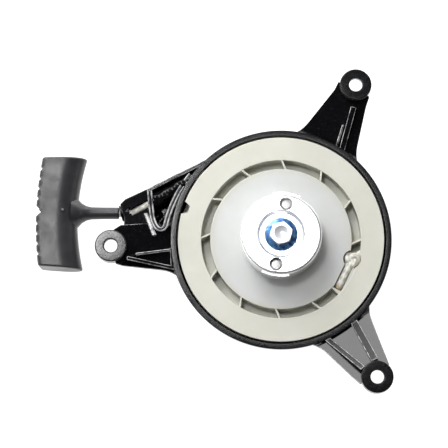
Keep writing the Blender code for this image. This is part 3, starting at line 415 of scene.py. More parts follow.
def slab(outline, low, high):
    """A plate with a plan outline in metres, between two heights in millimetres."""
    bm = bmesh.new()
    face = bm.faces.new([bm.verts.new((p[0], p[1], low * MM)) for p in outline])
    moved = bmesh.ops.extrude_face_region(bm, geom=[face])["geom"]
    moved = [v for v in moved if isinstance(v, bmesh.types.BMVert)]
    bmesh.ops.translate(bm, vec=(0, 0, (high - low) * MM), verts=moved)
    bmesh.ops.recalc_face_normals(bm, faces=bm.faces)
    return bm


def rod(start, end, radius, segments=32, end_radius=None):
    """A bar between two points in metres, its radii in millimetres."""
    start, end = Vector(start), Vector(end)
    bm = bmesh.new()
    bmesh.ops.create_cone(bm, cap_ends=True, segments=segments, radius1=radius * MM,
                          radius2=(radius if end_radius is None else end_radius) * MM,
                          depth=(end - start).length)
    turn = Vector((0, 0, 1)).rotation_difference(end - start).to_matrix().to_4x4()
    bm.transform(Matrix.Translation((start + end) / 2) @ turn)
    return bm


def round_edges(bm, width, segments=3, sharper_than=30, finish=0):
    """Bevel the sharp edges, with a width in millimetres. The new faces take that finish."""
    bm.normal_update()
    limit = math.radians(sharper_than)
    sharp = [e for e in bm.edges if len(e.link_faces) == 2 and e.calc_face_angle(0) > limit]
    bmesh.ops.bevel(bm, geom=sharp, offset=width * MM, offset_type="OFFSET", segments=segments,
                    profile=0.5, affect="EDGES", clamp_overlap=True, material=finish)
    return bm


def sector(inner, outer, first, last, steps):
    """The plan outline of a part of a ring, radii in millimetres."""
    turn = (last - first) / steps
    there = [polar(inner, first + turn * i) for i in range(steps + 1)]
    return there + [polar(outer, last - turn * i) for i in range(steps + 1)]


# %% Joining and cutting
def join(*parts):
    """One bmesh out of several."""
    whole = bmesh.new()
    for part in parts:
        mesh = bpy.data.meshes.new("part")
        part.to_mesh(mesh)
        part.free()
        whole.from_mesh(mesh)
        bpy.data.meshes.remove(mesh)
    return whole


def plain_object(name, bm):
    """An object in the scene, made from a bmesh."""
    mesh = bpy.data.meshes.new(name)
    bm.to_mesh(mesh)
    bm.free()
    obj = bpy.data.objects.new(name, mesh)
    bpy.context.scene.collection.objects.link(obj)
    return obj


def carve(bm, cutters, soften=0.0, operation="DIFFERENCE"):
    """Cut bmeshes out of another one, exactly, and return what is left."""
    body = plain_object("body", bm)
    tools = [plain_object("tool", cutter) for cutter in cutters]
    for obj in [body, *tools]:
        obj.data.materials.append(BLACK)
        obj.data.materials.append(EDGE_HIGHLIGHT)
    for tool in tools:
        modifier = body.modifiers.new("cut", "BOOLEAN")
        modifier.operation, modifier.solver, modifier.object = operation, "EXACT", tool
    bpy.context.view_layer.update()
    result = bmesh.new()
    result.from_object(body, bpy.context.evaluated_depsgraph_get())
    for obj in [body, *tools]:
        mesh = obj.data
        bpy.data.objects.remove(obj, do_unlink=True)
        bpy.data.meshes.remove(mesh)
    if soften:
        round_edges(result, soften, 2, 50)
    return result


# %% Finished pieces
def piece(name, bm, material, body, nodes=(), smooth=35):
    """Finish a piece: smooth it, give it its material and let it ride on its body."""
    bmesh.ops.remove_doubles(bm, verts=bm.verts, dist=1e-7)
    bmesh.ops.recalc_face_normals(bm, faces=bm.faces)
    obj = plain_object(name, bm)
    obj.data.shade_smooth()
    obj.data.set_sharp_from_angle(angle=math.radians(smooth))
    obj.data.materials.append(material)
    # The second slot is the painted edge highlight, which the rounded edges take.
    if material == BLACK:
        obj.data.materials.append(EDGE_HIGHLIGHT)
    flat = obj.modifiers.new("even_normals", "WEIGHTED_NORMAL")
    flat.keep_sharp = True
    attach(obj, body)
    if nodes:
        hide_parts(*nodes)
    print(f"{name}: {len(obj.data.polygons)} faces")
    return obj


# %% [markdown]
# ## Where the rope runs
# The rope leaves the reel along a straight line and bends a little before the eyelet. Several
# pieces need these lines, so they are worked out first. The casting's walls follow the straight
# line to the eyelet, and the tunnel and its window follow the rope itself.

# %% Rope line
GAP, ROPE_R, ROPE_Z, DRUM_R, LAYER_STEP = 0.3, 2.2, 23.1, 49.4, 4.8
LAYER_1 = DRUM_R + 2 * GAP + ROPE_R
LAYER_2 = LAYER_1 + LAYER_STEP
MOUTH_TURN, BEND_IN = 15.0, 5.4
TUNNEL_R = ROPE_R + 1.0
EYELET = Vector((-94.5, 16.2, ROPE_Z)) * MM
EYELET_WAY = -polar(1.0, MOUTH_TURN).normalized()
BEND = EYELET + Vector((BEND_IN, 0, 0)) * MM


def leave_angle(place):
    """Where a straight rope from a place touches the reel's outer layer, in degrees."""
    reach = place.to_2d().length
    return math.degrees(math.atan2(place.y, place.x) - math.acos(LAYER_2 * MM / reach))


ROPE_WAY = (polar(LAYER_2, leave_angle(EYELET), ROPE_Z) - EYELET).normalized()
ROPE_SIDE = Vector((-ROPE_WAY.y, ROPE_WAY.x, 0))
LEAVE_DEG = leave_angle(BEND)
LEAVE = polar(LAYER_2, LEAVE_DEG, ROPE_Z)
RUN = (LEAVE - BEND).normalized()
RUN_SIDE = Vector((-RUN.y, RUN.x, 0))


def beside(along, side, z=0.0):
    """A place along the straight line from the eyelet, and to its outer side."""
    spot = EYELET + ROPE_WAY * along * MM + ROPE_SIDE * side * MM
    return Vector((spot.x, spot.y, z * MM))


def on_rope(along, side=0.0, z=ROPE_Z):
    """A place along the rope from its bend, and to its outer side."""
    spot = BEND + RUN * along * MM + RUN_SIDE * side * MM
    return Vector((spot.x, spot.y, z * MM))


print("the rope leaves the reel at", round(LEAVE_DEG, 1), "degrees")

# %% [markdown]
# ## Housing shell
# The housing is a shallow bowl with a thick lip round its rim. The real one is cast, and its wall
# leans and rounds over at the back so that it leaves the mould. A spun profile gives all of this
# in one go. The air slots in the back are cut afterwards, and the post in the middle carries the
# reel.

# %% Housing shell
RIM_R, RIM_IN, RIM_TOP, WALL_R, FLOOR_T = 65.7, 62.2, 27.5, 64.0, 2.8
POST_R, POST_BORE, POST_TOP, BORE_LOW = 7.4, 4.3, 34, 11.5
back_side = [(0, 0), (12, 0), (14, 0.6), (38, 0.6), (40, 0), (56.4, 0)]
outer_wall = [(58.2, 0.35), (60.0, 1.7), (61.1, 4.2), (62.6, 9.0), (63.8, 14.4), (WALL_R, 23.2)]
lip = [(RIM_R, 24.3), (RIM_R, RIM_TOP), (RIM_IN, RIM_TOP)]
inner_wall = [(RIM_IN, 13.2), (60.8, 8.0), (59.3, 4.7), (57.4, FLOOR_T), (9.5, FLOOR_T)]
post = [(POST_R, 5.0), (POST_R, POST_TOP), (POST_BORE, POST_TOP), (POST_BORE, BORE_LOW), (0, BORE_LOW)]
profile = back_side + outer_wall + lip + inner_wall + post
shell = round_edges(spun(profile, 192, closed=False), 0.45, 3, 25)
print("housing shell:", len(shell.faces), "faces before the slots are cut")

# %% Air slots
SLOTS, SLOT_IN, SLOT_OUT, SLOT_HALF, END_STEPS = 12, 45.5, 51.0, 2.5, 8


def slot_end(center, degrees):
    """The round end of a slot, a half circle that starts at an angle."""
    turn = 180 / END_STEPS
    return [center + polar(SLOT_HALF, degrees + turn * i) for i in range(END_STEPS + 1)]


slots = []
for i in range(SLOTS):
    angle = 360 * (i + 0.5) / SLOTS
    outline = slot_end(polar(SLOT_OUT, angle), angle - 90) + slot_end(polar(SLOT_IN, angle), angle + 90)
    slots.append(slab(outline, -1, FLOOR_T + 2.2))
shell = carve(shell, slots, 0.3)
shell = carve(shell, [rod(BEND, LEAVE, TUNNEL_R)])
piece("housing_shell", shell, BLACK, "housing", ["housing"])

# %% [markdown]
# ## Arms and pads
# Three arms climb from the rim to the mounting pads. Each is a sloping plate with raised ribs
# along it and a web underneath. The plates are drawn flat, in the arm's own along and across
# directions, then every point is lifted onto the slope, which keeps the plan outline true.

# %% Arm helper
PAD_CIRCLE, PAD_R, PAD_TOP, PAD_T, PAD_WEB, PAD_HOLE = 100.0, 9.4, 45.0, 9.6, 4.5, 3.9
PLATE_T, RIB_H, RIB_H_NECK, RIB_SINK, RIB_ROUND = 3.2, 1.8, 6.2, 0.6, 0.55
ARM_FOOT, ARM_NECK, ARM_TOP = RIM_R - 1.0, PAD_CIRCLE - PAD_R - 1.0, 43.0
FLARE_L, FLARE_TURN, FLARE_STEPS, STEEPEST = 9, 8, 8, 1.35
WALL_MID = (WALL_R + RIM_IN) / 2


class Arm:
    """Plan directions and slope of one arm. Lengths are in millimetres."""

    def __init__(self, name, degrees, root, neck, neck_back):
        self.name = name
        self.way = polar(1.0, degrees)
        self.side = polar(1.0, degrees + 90)
        self.root, self.neck, self.neck_back = root, neck, neck_back

    def spot(self, along, side, z=0.0):
        """A place along the arm from the reel's axis, and across it."""
        return self.way * along + self.side * side + Vector((0, 0, z * MM))

    def rise(self, along, below=(0.0, 0.0)):
        """Height of the rib tops, less a depth that goes from its foot value to its neck value."""
        share = min(max((along - ARM_FOOT) / (ARM_NECK - ARM_FOOT), 0.0), STEEPEST)
        return RIM_TOP - 0.2 + share * (ARM_TOP - RIM_TOP) - below[0] - share * (below[1] - below[0])

    def edge(self, which):
        """One side of the plan, from the pad to its flared foot."""
        sign = 1 if which else -1
        tip = self.spot(PAD_CIRCLE - 2, sign * (PAD_R + 0.8))
        neck = self.spot(PAD_CIRCLE - self.neck_back[which], sign * self.neck[which])
        root = polar(RIM_R - 1, self.root[which])
        start = root + (neck - root).normalized() * FLARE_L * MM
        end = polar(WALL_MID, self.root[which] + sign * FLARE_TURN)
        flare = []
        for i in range(FLARE_STEPS + 1):
            t = i / FLARE_STEPS
            flare.append(start.lerp(root, t).lerp(root.lerp(end, t), t))
        return [tip, neck] + flare

    def lift(self, bm, low, high):
        """Stand a flat slab of heights 0 and 1 on the slope, given depths under the rib tops."""
        for along in (ARM_FOOT, ARM_FOOT + 1, ARM_NECK - 1, ARM_NECK):
            geom = bm.verts[:] + bm.edges[:] + bm.faces[:]
            bmesh.ops.bisect_plane(bm, geom=geom, dist=1e-7, plane_co=self.way * along,
                                   plane_no=self.way.normalized())
        unit = self.way.normalized()
        for v in bm.verts:
            t = v.co.z / MM
            along = v.co.dot(unit) / MM
            v.co.z = self.rise(along, high if t > 0.5 else low) * MM
        bm.normal_update()
        return bm

    def rib(self, start, end, width):
        """A straight rib between two (along, side) places."""
        a, b = self.spot(*start), self.spot(*end)
        off = (b - a).cross(Vector((0, 0, 1))).normalized() * width / 2 * MM
        bar = slab([a - off, a + off, b + off, b - off], 0, 1)
        self.lift(bar, (RIB_H + RIB_SINK, RIB_H_NECK + RIB_SINK), (0, 0))
        return round_edges(bar, RIB_ROUND, 3, 40, 1)


ARMS = {
    "left": Arm("left", 183.7, (170.5, 197.2), (12.8, 11.5), (6, 6)),
    "upper": Arm("upper", 63.7, (47.3, 80.4), (11.0, 10.4), (8, 7)),
    "lower": Arm("lower", 303.7, (288.4, 321.4), (11.2, 11.4), (6, 7)),
}
print("arms:", ", ".join(ARMS))


# %% Plates, webs and pads
WEB_T, WEB_END, PAD_WALL, HOLE_ROOM = 3, 92.7, 2.2, 2.25


def arm_plate(arm):
    """The sloping plate of an arm, from inside the rim's wall to its pad."""
    right_side, left_side = arm.edge(0), arm.edge(1)
    first, last = arm.root[1] + FLARE_TURN, arm.root[0] - FLARE_TURN
    inner = [polar(WALL_MID, first + (last - first) * i / 12) for i in range(1, 12)]
    plate = slab(right_side[::-1] + left_side + inner, 0, 1)
    arm.lift(plate, (RIB_H + PLATE_T, RIB_H_NECK + PLATE_T), (RIB_H, RIB_H_NECK))
    return round_edges(plate, 0.5, 3, 40, 1)


def arm_web(arm):
    """The web under an arm, drawn from the side and pushed out to its thickness."""
    under = ARM_TOP - RIB_H_NECK - PLATE_T
    side = [(WALL_MID, 14.2), (WEB_END, under - 1), (WEB_END, under + 1),
            (PAD_CIRCLE - PAD_R, under + 1), (WALL_MID, RIM_TOP - 5)]
    bm = bmesh.new()
    face = bm.faces.new([bm.verts.new(arm.spot(along, -WEB_T / 2, z)) for along, z in side])
    moved = bmesh.ops.extrude_face_region(bm, geom=[face])["geom"]
    moved = [v for v in moved if isinstance(v, bmesh.types.BMVert)]
    bmesh.ops.translate(bm, vec=arm.side * WEB_T, verts=moved)
    bmesh.ops.recalc_face_normals(bm, faces=bm.faces)
    return round_edges(bm, 0.4, 2, 40)


def arm_pad(arm):
    """A round boss, hollow underneath, with a hole for its bolt."""
    low, hollow = PAD_TOP - PAD_T, PAD_HOLE + PAD_WALL
    web = PAD_TOP - PAD_WEB
    profile = [(PAD_HOLE, web), (hollow, web), (hollow, low), (PAD_R, low), (PAD_R, PAD_TOP),
               (PAD_HOLE, PAD_TOP)]
    bm = round_edges(spun(profile, 96), 0.7, 4, 40)
    bmesh.ops.translate(bm, vec=arm.spot(PAD_CIRCLE, 0), verts=bm.verts)
    return bm


# %% Pocket and arms
# The pocket has a V shape in plan. FOOT is the point of the V, and the rim closes its open end.
OUTLET_TOP, OUTLET_LOW, POCKET_FLOOR, SIDE, WALL_T = 26.0, 12.0, 14.5, 6.3, 2.2
ABOVE = 40
FOOT = Vector((-73.0, 4.5, 0)) * MM


def near_foot(x, y, z=0.0):
    """A place in plan from the point of the V, with a height, all in millimetres."""
    return FOOT + Vector((x, y, z)) * MM


pocket_line = [beside(22.4, SIDE - WALL_T), near_foot(-1.4, 3.0), near_foot(1.5, 0.4), near_foot(4.6, 2.0)]
pocket_line += [polar(RIM_R + 0.2, d) for d in range(173, 137, -4)]


def outlet_pocket(floor=POCKET_FLOOR):
    """The cutter of the pocket beside the rope's tunnel."""
    return slab([p.to_2d() for p in pocket_line], floor, ABOVE)


for arm in ARMS.values():
    hole = rod(arm.spot(PAD_CIRCLE, 0, 20), arm.spot(PAD_CIRCLE, 0, 50), PAD_HOLE + HOLE_ROOM)
    cuts = [hole, outlet_pocket()] if arm.name == "left" else [hole]
    piece(f"arm_{arm.name}", carve(arm_plate(arm), cuts), BLACK, "housing")
    piece(f"arm_web_{arm.name}", arm_web(arm), BLACK, "housing")
    piece(f"pad_{arm.name}", arm_pad(arm), BLACK, "housing")

# %% [markdown]
# ## Ribs on the arms
# Pairs of ribs stiffen each arm, with a sunken triangle between them. They are short bars with
# round edges, set into the sloping plates. Each has its start and its end, both along the arm and
# across it, and its width.

# %% Ribs
RIBS = {
    "left": [((64, 13.2), (91, 7.6), 2.2), ((64, 2.0), (86, 5.4), 1.6),
             ((65.2, 1.0), (65.2, 13), 2.0)],
    "upper": [((64, -9.0), (88, -4.6), 3.4), ((64, -5.2), (77, -3.4), 1.4)],
    "lower": [((64, -10.6), (91, -4.0), 3.0), ((64, 8.4), (91, 4.4), 4.2)],
}
for name, ribs in RIBS.items():
    arm = ARMS[name]
    bars = [arm.rib(start, end, width) for start, end, width in ribs]
    piece(f"ribs_{name}", join(*bars), BLACK, "housing")

# %% [markdown]
# ## Rope outlet
# The block that leads the rope out has a deep V-shaped pocket, which saves metal, and a window
# that shows the rope. Its top slopes down towards the reel. The rope's tunnel shows as a hump in
# the pocket, and cast metal is never quite even, so noise moves the skin of both a little.

# %% Outlet block
TOP_SLOPE, LEVEL_X, ABOVE_HALF = 0.16, -82, 20
WINDOW_FROM, WINDOW_TO, SEAT_R = -0.5, 11.5, 4.6
MOUTH_SIDE = Vector((-EYELET_WAY.y, EYELET_WAY.x, 0))
RIM_END = polar(RIM_R - 1, LEAVE_DEG + 10.5)


def rope_tunnel():
    """The cutter for the rope's way through the casting."""
    return rod(on_rope(-3.0), LEAVE, TUNNEL_R)


outline = [EYELET + MOUTH_SIDE * 4.8 * MM, EYELET - MOUTH_SIDE * 5.0 * MM]
outline += [beside(5, SIDE), beside(21, SIDE), RIM_END]
outline += [polar(WALL_MID, 132 + 6 * i) for i in range(8)]
outline += [near_foot(-7, -3.5), near_foot(-20.5, 0.5)]
block = slab([p.to_2d() for p in outline], OUTLET_LOW, OUTLET_TOP)
for v in block.verts:
    if v.co.z > ABOVE_HALF * MM:
        v.co.z -= TOP_SLOPE * (v.co.x - LEVEL_X * MM)
round_edges(block, 0.7, 3, 40)
eyelet_seat = rod(EYELET - EYELET_WAY * 5 * MM, EYELET + EYELET_WAY * 4 * MM, SEAT_R)
corners = ((WINDOW_FROM, -ROPE_R), (WINDOW_TO, -ROPE_R), (WINDOW_TO, ROPE_R), (WINDOW_FROM, ROPE_R))
window = slab([on_rope(along, side) for along, side in corners], ROPE_Z, ABOVE)
block = carve(block, [outlet_pocket()], 0.5)
block = carve(block, [window, rope_tunnel(), eyelet_seat], 0.25)
piece("outlet_block", block, BLACK, "housing")


# %% Tunnel and pocket skin
def wavy(bm, depth, wave):
    """Uneven cast skin: push the points along their normals by noise, both in millimetres."""
    bm.normal_update()
    for v in bm.verts:
        v.co += v.normal * noise.noise(v.co / (wave * MM)) * depth * MM
    return bm


HUMP_FROM, HUMP_TO, HUMP_WALL, HUMP_CUTS = 12.5, 54, 2.0, 60
SKIN_CELLS, SKIN_HALF, SKIN_T, SKIN_DOWN = 70, 20, 3, 0.6
hump = rod(on_rope(HUMP_FROM), on_rope(HUMP_TO), ROPE_R + HUMP_WALL, 48)
long_edges = [e for e in hump.edges if e.calc_length() > 20 * MM]
bmesh.ops.subdivide_edges(hump, edges=long_edges, cuts=HUMP_CUTS)
wavy(hump, 0.9, 3.0)
reel_room = rod((0, 0, 0), (0, 0, ABOVE * MM), WALL_MID, 192)
hump = carve(hump, [rope_tunnel(), reel_room])
piece("outlet_tunnel", hump, BLACK, "housing")
skin = bmesh.new()
bmesh.ops.create_grid(skin, x_segments=SKIN_CELLS, y_segments=SKIN_CELLS, size=SKIN_HALF * MM)
bmesh.ops.translate(skin, vec=near_foot(5, 13.5, POCKET_FLOOR + SKIN_DOWN), verts=skin.verts)
wavy(skin, 1.5, 4.0)
under = bmesh.ops.extrude_face_region(skin, geom=skin.faces[:])["geom"]
under = [v for v in under if isinstance(v, bmesh.types.BMVert)]
bmesh.ops.translate(skin, vec=(0, 0, -SKIN_T * MM), verts=under)
bmesh.ops.recalc_face_normals(skin, faces=skin.faces)
skin = carve(skin, [outlet_pocket(POCKET_FLOOR - SKIN_DOWN)], operation="INTERSECT")
piece("outlet_pocket_skin", skin, BLACK, "housing", smooth=60)


# %% [markdown]
# ## Beads of the outlet
# A double bead runs round the pocket, and a thin fin stands beside it. A bead is a
# round bar with many bends, so it starts as a curve with a bevel, which is then made a mesh.

# %% Bead helper
BEAD_R, FILLER_R, BEAD_OFF, FILLER_DOWN, BEAD_STEPS = 0.55, 0.95, 1.0, 0.5, 14


def bead(points, radius):
    """A round-topped bead, bent smoothly through points in metres."""
    curve = bpy.data.curves.new("bead", "CURVE")
    curve.dimensions = "3D"
    curve.bevel_depth = radius * MM
    curve.bevel_resolution = 4
    curve.resolution_u = BEAD_STEPS
    curve.use_fill_caps = True
    line = curve.splines.new("NURBS")
    line.points.add(len(points) - 1)
    line.use_endpoint_u = True
    line.order_u = 3
    for point, place in zip(line.points, points):
        point.co = (*place, 1)
    holder = bpy.data.objects.new("bead", curve)
    bpy.context.scene.collection.objects.link(holder)
    bpy.context.view_layer.update()
    bm = bmesh.new()
    bm.from_mesh(holder.to_mesh())
    bpy.data.objects.remove(holder, do_unlink=True)
    bmesh.ops.recalc_face_normals(bm, faces=bm.faces)
    return bm


def painted_highlight(bm):
    """Give a bar the painted edge highlight all over."""
    for face in bm.faces:
        face.material_index = 1
    return bm


# %% Wall, beads and fin
WALL_FROM, WALL_LOW, FIN_LOW, FIN_TOP = 19, 20, 24, 32.8
outline = [beside(WALL_FROM, SIDE - 0.1), RIM_END + ROPE_WAY * MM, RIM_END - ROPE_SIDE * WALL_T * MM,
           beside(WALL_FROM, SIDE - 0.1 - WALL_T)]
wall = slab([p.to_2d() for p in outline], WALL_LOW, RIM_TOP - 0.1)
bars = [round_edges(wall, 0.5, 3, 40, 1)]
u_line = [beside(20.4, SIDE - 1.8, 26.6), near_foot(-3.9, 9.5, 27.8), near_foot(-2.2, 4.0, 30.2),
          near_foot(0.6, 0.4, 31.2), near_foot(4.2, 1.4, 30.6), polar(RIM_R + 3.0, 170.5, 29.2),
          polar(RIM_R + 2.4, 164, 27.6), polar(RIM_R + 1.8, 156, 26.9),
          polar(RIM_R + 1.2, 149, 26.5), polar(RIM_R + 0.8, 144, 26.3)]
for offset in (-BEAD_OFF, BEAD_OFF):
    pushed = []
    for i, spot in enumerate(u_line):
        along = u_line[min(i + 1, len(u_line) - 1)] - u_line[max(i - 1, 0)]
        pushed.append(spot + Vector((-along.y, along.x, 0)).normalized() * offset * MM)
    bars.append(painted_highlight(bead(pushed, BEAD_R)))
bars.append(bead([spot - Vector((0, 0, FILLER_DOWN)) * MM for spot in u_line], FILLER_R))
outline = [near_foot(-8.4, 10.1), near_foot(-6.2, 10.5), near_foot(-0.6, -2.9), near_foot(-3.2, -3.5)]
bars.append(painted_highlight(round_edges(slab(outline, FIN_LOW, FIN_TOP), 0.6, 3, 40)))
piece("outlet_beads", join(*bars), BLACK, "housing")

# %% [markdown]
# ## Eyelet
# The eyelet is a turned bush with a mouth like a trumpet, so that the rope doesn't chafe. It is
# turned upright, then laid along its own axis.

# %% Eyelet
eyelet = round_edges(spun([(4.0, -4.0), (4.3, -4.0), (4.3, 0.3), (4.9, 0.3), (4.9, 1.1), (3.8, 1.35),
                           (3.1, 0.4), (2.9, -1.4), (3.2, -3.0)], 48), 0.12, 2, 30)
eyelet_turn = Vector((0, 0, 1)).rotation_difference(EYELET_WAY).to_matrix().to_4x4()
eyelet.transform(Matrix.Translation(EYELET) @ eyelet_turn)
piece("eyelet", eyelet, BLACKENED, "housing", ["rope_eyelet"])

# %% [markdown]
# ## Reel
# The reel is a big moulded disc with a ring groove in its face, bridged by thin slanted ribs, and
# a raised hub. A spun profile makes the disc, and the ribs are small plates that stand in the
# groove. One rib is missing, because a solid block there holds the rope's knot.

# %% Reel disc
FACE, GROOVE_IN, GROOVE_OUT, GROOVE_FLOOR, HUB_R, HUB_TOP = 28.0, 42.0, 47.4, 17.6, 23.6, 36.5
REEL_R, REEL_BACK, ROPE_LOW, ROPE_HIGH, HUB_BACK = 61.2, 13.2, 15.6, 25.6, 4.2
BORE_R, SEAT_IN, SEAT_FLOOR = 9.7, 12.8, 33.7
hub_back = [(BORE_R, HUB_BACK), (13.2, HUB_BACK), (13.2, REEL_BACK), (16, REEL_BACK)]
underside = [(16, ROPE_HIGH), (40.2, ROPE_HIGH), (40.2, REEL_BACK), (REEL_R, REEL_BACK)]
rope_room_side = [(REEL_R, ROPE_LOW), (DRUM_R, ROPE_LOW), (DRUM_R, ROPE_HIGH), (REEL_R, ROPE_HIGH)]
front = [(REEL_R, FACE), (GROOVE_OUT, FACE), (GROOVE_OUT, GROOVE_FLOOR), (GROOVE_IN, GROOVE_FLOOR),
         (GROOVE_IN, FACE)]
hub = [(HUB_R + 0.8, FACE), (HUB_R, FACE + 0.8), (HUB_R, HUB_TOP), (SEAT_IN, HUB_TOP),
       (SEAT_IN, SEAT_FLOOR), (BORE_R, SEAT_FLOOR)]
reel = round_edges(spun(hub_back + underside + rope_room_side + front + hub, 200), 0.35, 3, 25)
print("reel disc:", len(reel.faces), "faces before it is cut")

# %% Cuts in the reel
KNOT_DEG, TAIL_DEG, NOTCH_DEG, WIND_DEG, KNOT_DOWN = -16.0, -41.5, 162.0, -5.0, 4.4
PAWL_R, PAWL_DEG, PIN_ROOM, PIN_BORE, PIN_FLOOR = 18.1, 80.5, 4.0, 2.3, 27.0
mid = (GROOVE_IN + GROOVE_OUT) / 2
knot_at = polar(mid - 0.9, KNOT_DEG, FACE - KNOT_DOWN)
tail_a = polar(mid - 0.9, KNOT_DEG, FACE - ROPE_R - GAP)
tail_b = polar(mid, TAIL_DEG, FACE - ROPE_R - GAP)
notch = slab([polar(REEL_R + 1, NOTCH_DEG - 4), polar(REEL_R + 1, NOTCH_DEG + 4),
              polar(REEL_R - 3.6, NOTCH_DEG + 2), polar(REEL_R - 3.6, NOTCH_DEG - 2)], ROPE_HIGH - 1, 30)
lead_start = polar(LAYER_1, WIND_DEG, ROPE_Z)
lead_cut = rod(lead_start, knot_at, ROPE_R + 0.35)
pin_cuts = []
for side in (0, 180):
    place = polar(PAWL_R, PAWL_DEG + side)
    for low, radius in ((33.3, PIN_ROOM), (PIN_FLOOR, PIN_BORE)):
        high = HUB_TOP + 1.5
        pin_cuts.append(rod(place + Vector((0, 0, low)) * MM, place + Vector((0, 0, high)) * MM, radius))
reel = carve(reel, [notch, *pin_cuts], 0.25)
print("reel disc:", len(reel.faces), "faces with its notch and pin seats")

# %% Ribs and rope block
COUNT, FIRST, SLANT, RIB_T, IN_WALL = 12, 87.5, 4.0, 1.1, 0.4
parts = []
for i in range(COUNT):
    angle = FIRST + 360 / COUNT * i
    if abs((angle - (KNOT_DEG + TAIL_DEG) / 2 + 180) % 360 - 180) < 180 / COUNT:
        continue
    inner, outer = polar(GROOVE_IN - 0.5, angle - SLANT / 2), polar(GROOVE_OUT + 0.5, angle + SLANT / 2)
    off = (outer - inner).cross(Vector((0, 0, 1))).normalized() * RIB_T / 2 * MM
    corners = [inner - off, inner + off, outer + off, outer - off]
    parts.append(round_edges(slab(corners, GROOVE_FLOOR - IN_WALL, FACE - 0.3), 0.25, 2, 40))
outline = sector(GROOVE_IN - IN_WALL, GROOVE_OUT + IN_WALL, TAIL_DEG - 3, KNOT_DEG - 6, 6)
holder = round_edges(slab(outline, GROOVE_FLOOR - IN_WALL, FACE - 0.25), 0.3, 2, 40)
tail_way = (tail_b - tail_a).normalized()
off = tail_way.cross(Vector((0, 0, 1))) * (ROPE_R + 0.4) * MM
end = tail_b + tail_way * 0.6 * MM


def rope_room():
    """Cutters for the channel of the rope's tail and for the knot's pocket."""
    sides = [p.to_2d() for p in (tail_a - off, tail_a + off, end + off, end - off)]
    low = Vector((knot_at.x, knot_at.y, GROOVE_FLOOR * MM))
    high = Vector((knot_at.x, knot_at.y, 30 * MM))
    return [slab(sides, FACE - 5.2, 30), rod(low, high, 5.3, 48)]


holder = carve(holder, rope_room())
reel = carve(reel, [*rope_room(), lead_cut])
piece("reel_disc", reel, NYLON, "reel", ["reel"])
piece("reel_ribs", join(*parts), NYLON, "reel")
piece("reel_rope_block", holder, NYLON, "reel")

# %% [markdown]
# ## Ratchet cover
# The cover is a pressed steel cup, upside down, with two windows in its side that the pawls come
# out of, two sight holes and a dished centre for the bolt. It is spun, then cut.

# %% Cover
CUP_R, CUP_T, CUP_TOP, CUP_LOW, CUP_STEPS = 24.0, 1.5, 48.0, 36.9, 200
DISH_R, DISH_TOP, DISH_LOW, CUP_BORE, SIGHT_R = 12.8, 45.5, 44.0, 6.4, 3.9
WINDOW_MID, WINDOW_SPAN, LIP_SPAN = 81.8, 38.4, 38.8
edge = [(CUP_R, CUP_LOW), (CUP_R, CUP_TOP - 1.4), (CUP_R - 0.4, CUP_TOP - 0.4), (CUP_R - 1.4, CUP_TOP)]
dish = [(DISH_R + 1.1, CUP_TOP), (DISH_R + 0.6, CUP_TOP - 0.4), (DISH_R, DISH_TOP), (CUP_BORE, DISH_TOP)]
inside = [(CUP_BORE, DISH_LOW), (DISH_R + 0.8, DISH_LOW), (DISH_R + 2.2, CUP_TOP - CUP_T),
          (CUP_R - CUP_T, CUP_TOP - CUP_T), (CUP_R - CUP_T, CUP_LOW)]
cup = round_edges(spun(edge + dish + inside, CUP_STEPS), 0.5, 4, 20)
cuts, lips = [], []
for side in (0, 180):
    place = polar(PAWL_R, PAWL_DEG + side)
    cuts.append(rod(place + Vector((0, 0, 44 * MM)), place + Vector((0, 0, 50 * MM)), SIGHT_R, 48))
    first, last = WINDOW_MID + side - WINDOW_SPAN / 2, WINDOW_MID + side + WINDOW_SPAN / 2
    cuts.append(slab(sector(CUP_R - 2.4, CUP_R + 2.5, first, last, 10), CUP_LOW - 1, CUP_TOP - 2.8))
    first, last = WINDOW_MID + side - LIP_SPAN / 2, WINDOW_MID + side + LIP_SPAN / 2
    lip = slab(sector(CUP_R - 0.8, CUP_R + 1.2, first, last, 12), CUP_TOP - 2.7, CUP_TOP - 1.3)
    lips.append(round_edges(lip, 0.3, 2, 40))
cup = carve(cup, cuts, 0.15)
piece("ratchet_cup", cup, BRIGHT, "cover", ["ratchet_cover"])
piece("cup_window_lips", join(*lips), BRIGHT, "cover")

# %% [markdown]
# ## Centre bolt
# A flanged hexagon bolt holds the ratchet on its post. Its head is a six-sided prism with a
# hollow top, as cold-forged heads have, and the corners are chamfered by a cone.

# %% Centre bolt
BOLT_Z, BOLT_R, FLANGE_R, FLANGE_T, HEAD_FOOT_R = 46.0, 4.0, 9.6, 0.8, 6.9
HEX_ACROSS, HEX_TOP, HEX_TURN = 12.0, 6.3, 15
shank = [(0, 14), (BOLT_R, 14), (BOLT_R, BOLT_Z)]
flange = [(FLANGE_R, BOLT_Z), (FLANGE_R, BOLT_Z + FLANGE_T), (HEAD_FOOT_R, BOLT_Z + 2.0), (0, BOLT_Z + 2.0)]
flange = round_edges(spun(shank + flange, 96, closed=False), 0.25, 3, 30)
piece("bolt_flange", flange, BLUE, "housing", ["centre_bolt"])
corner = HEX_ACROSS / 2 / math.cos(math.pi / 6)
hexagon = [polar(corner, 60 * i + HEX_TURN) for i in range(6)]
head = slab(hexagon, BOLT_Z + 1.0, BOLT_Z + HEX_TOP)
chamfer = spun([(5.7, BOLT_Z + 6.6), (9.5, BOLT_Z + 4.4), (9.5, BOLT_Z + 8.0), (5.7, BOLT_Z + 8.0)], 64)
hollow = spun([(0, BOLT_Z + 5.2), (2.6, BOLT_Z + 5.3), (3.9, BOLT_Z + 5.9), (4.4, BOLT_Z + 6.8),
               (0, BOLT_Z + 6.8)], 64, closed=False)
head = carve(head, [chamfer, hollow], 0.15)
piece("bolt_head", head, HEAD, "housing")

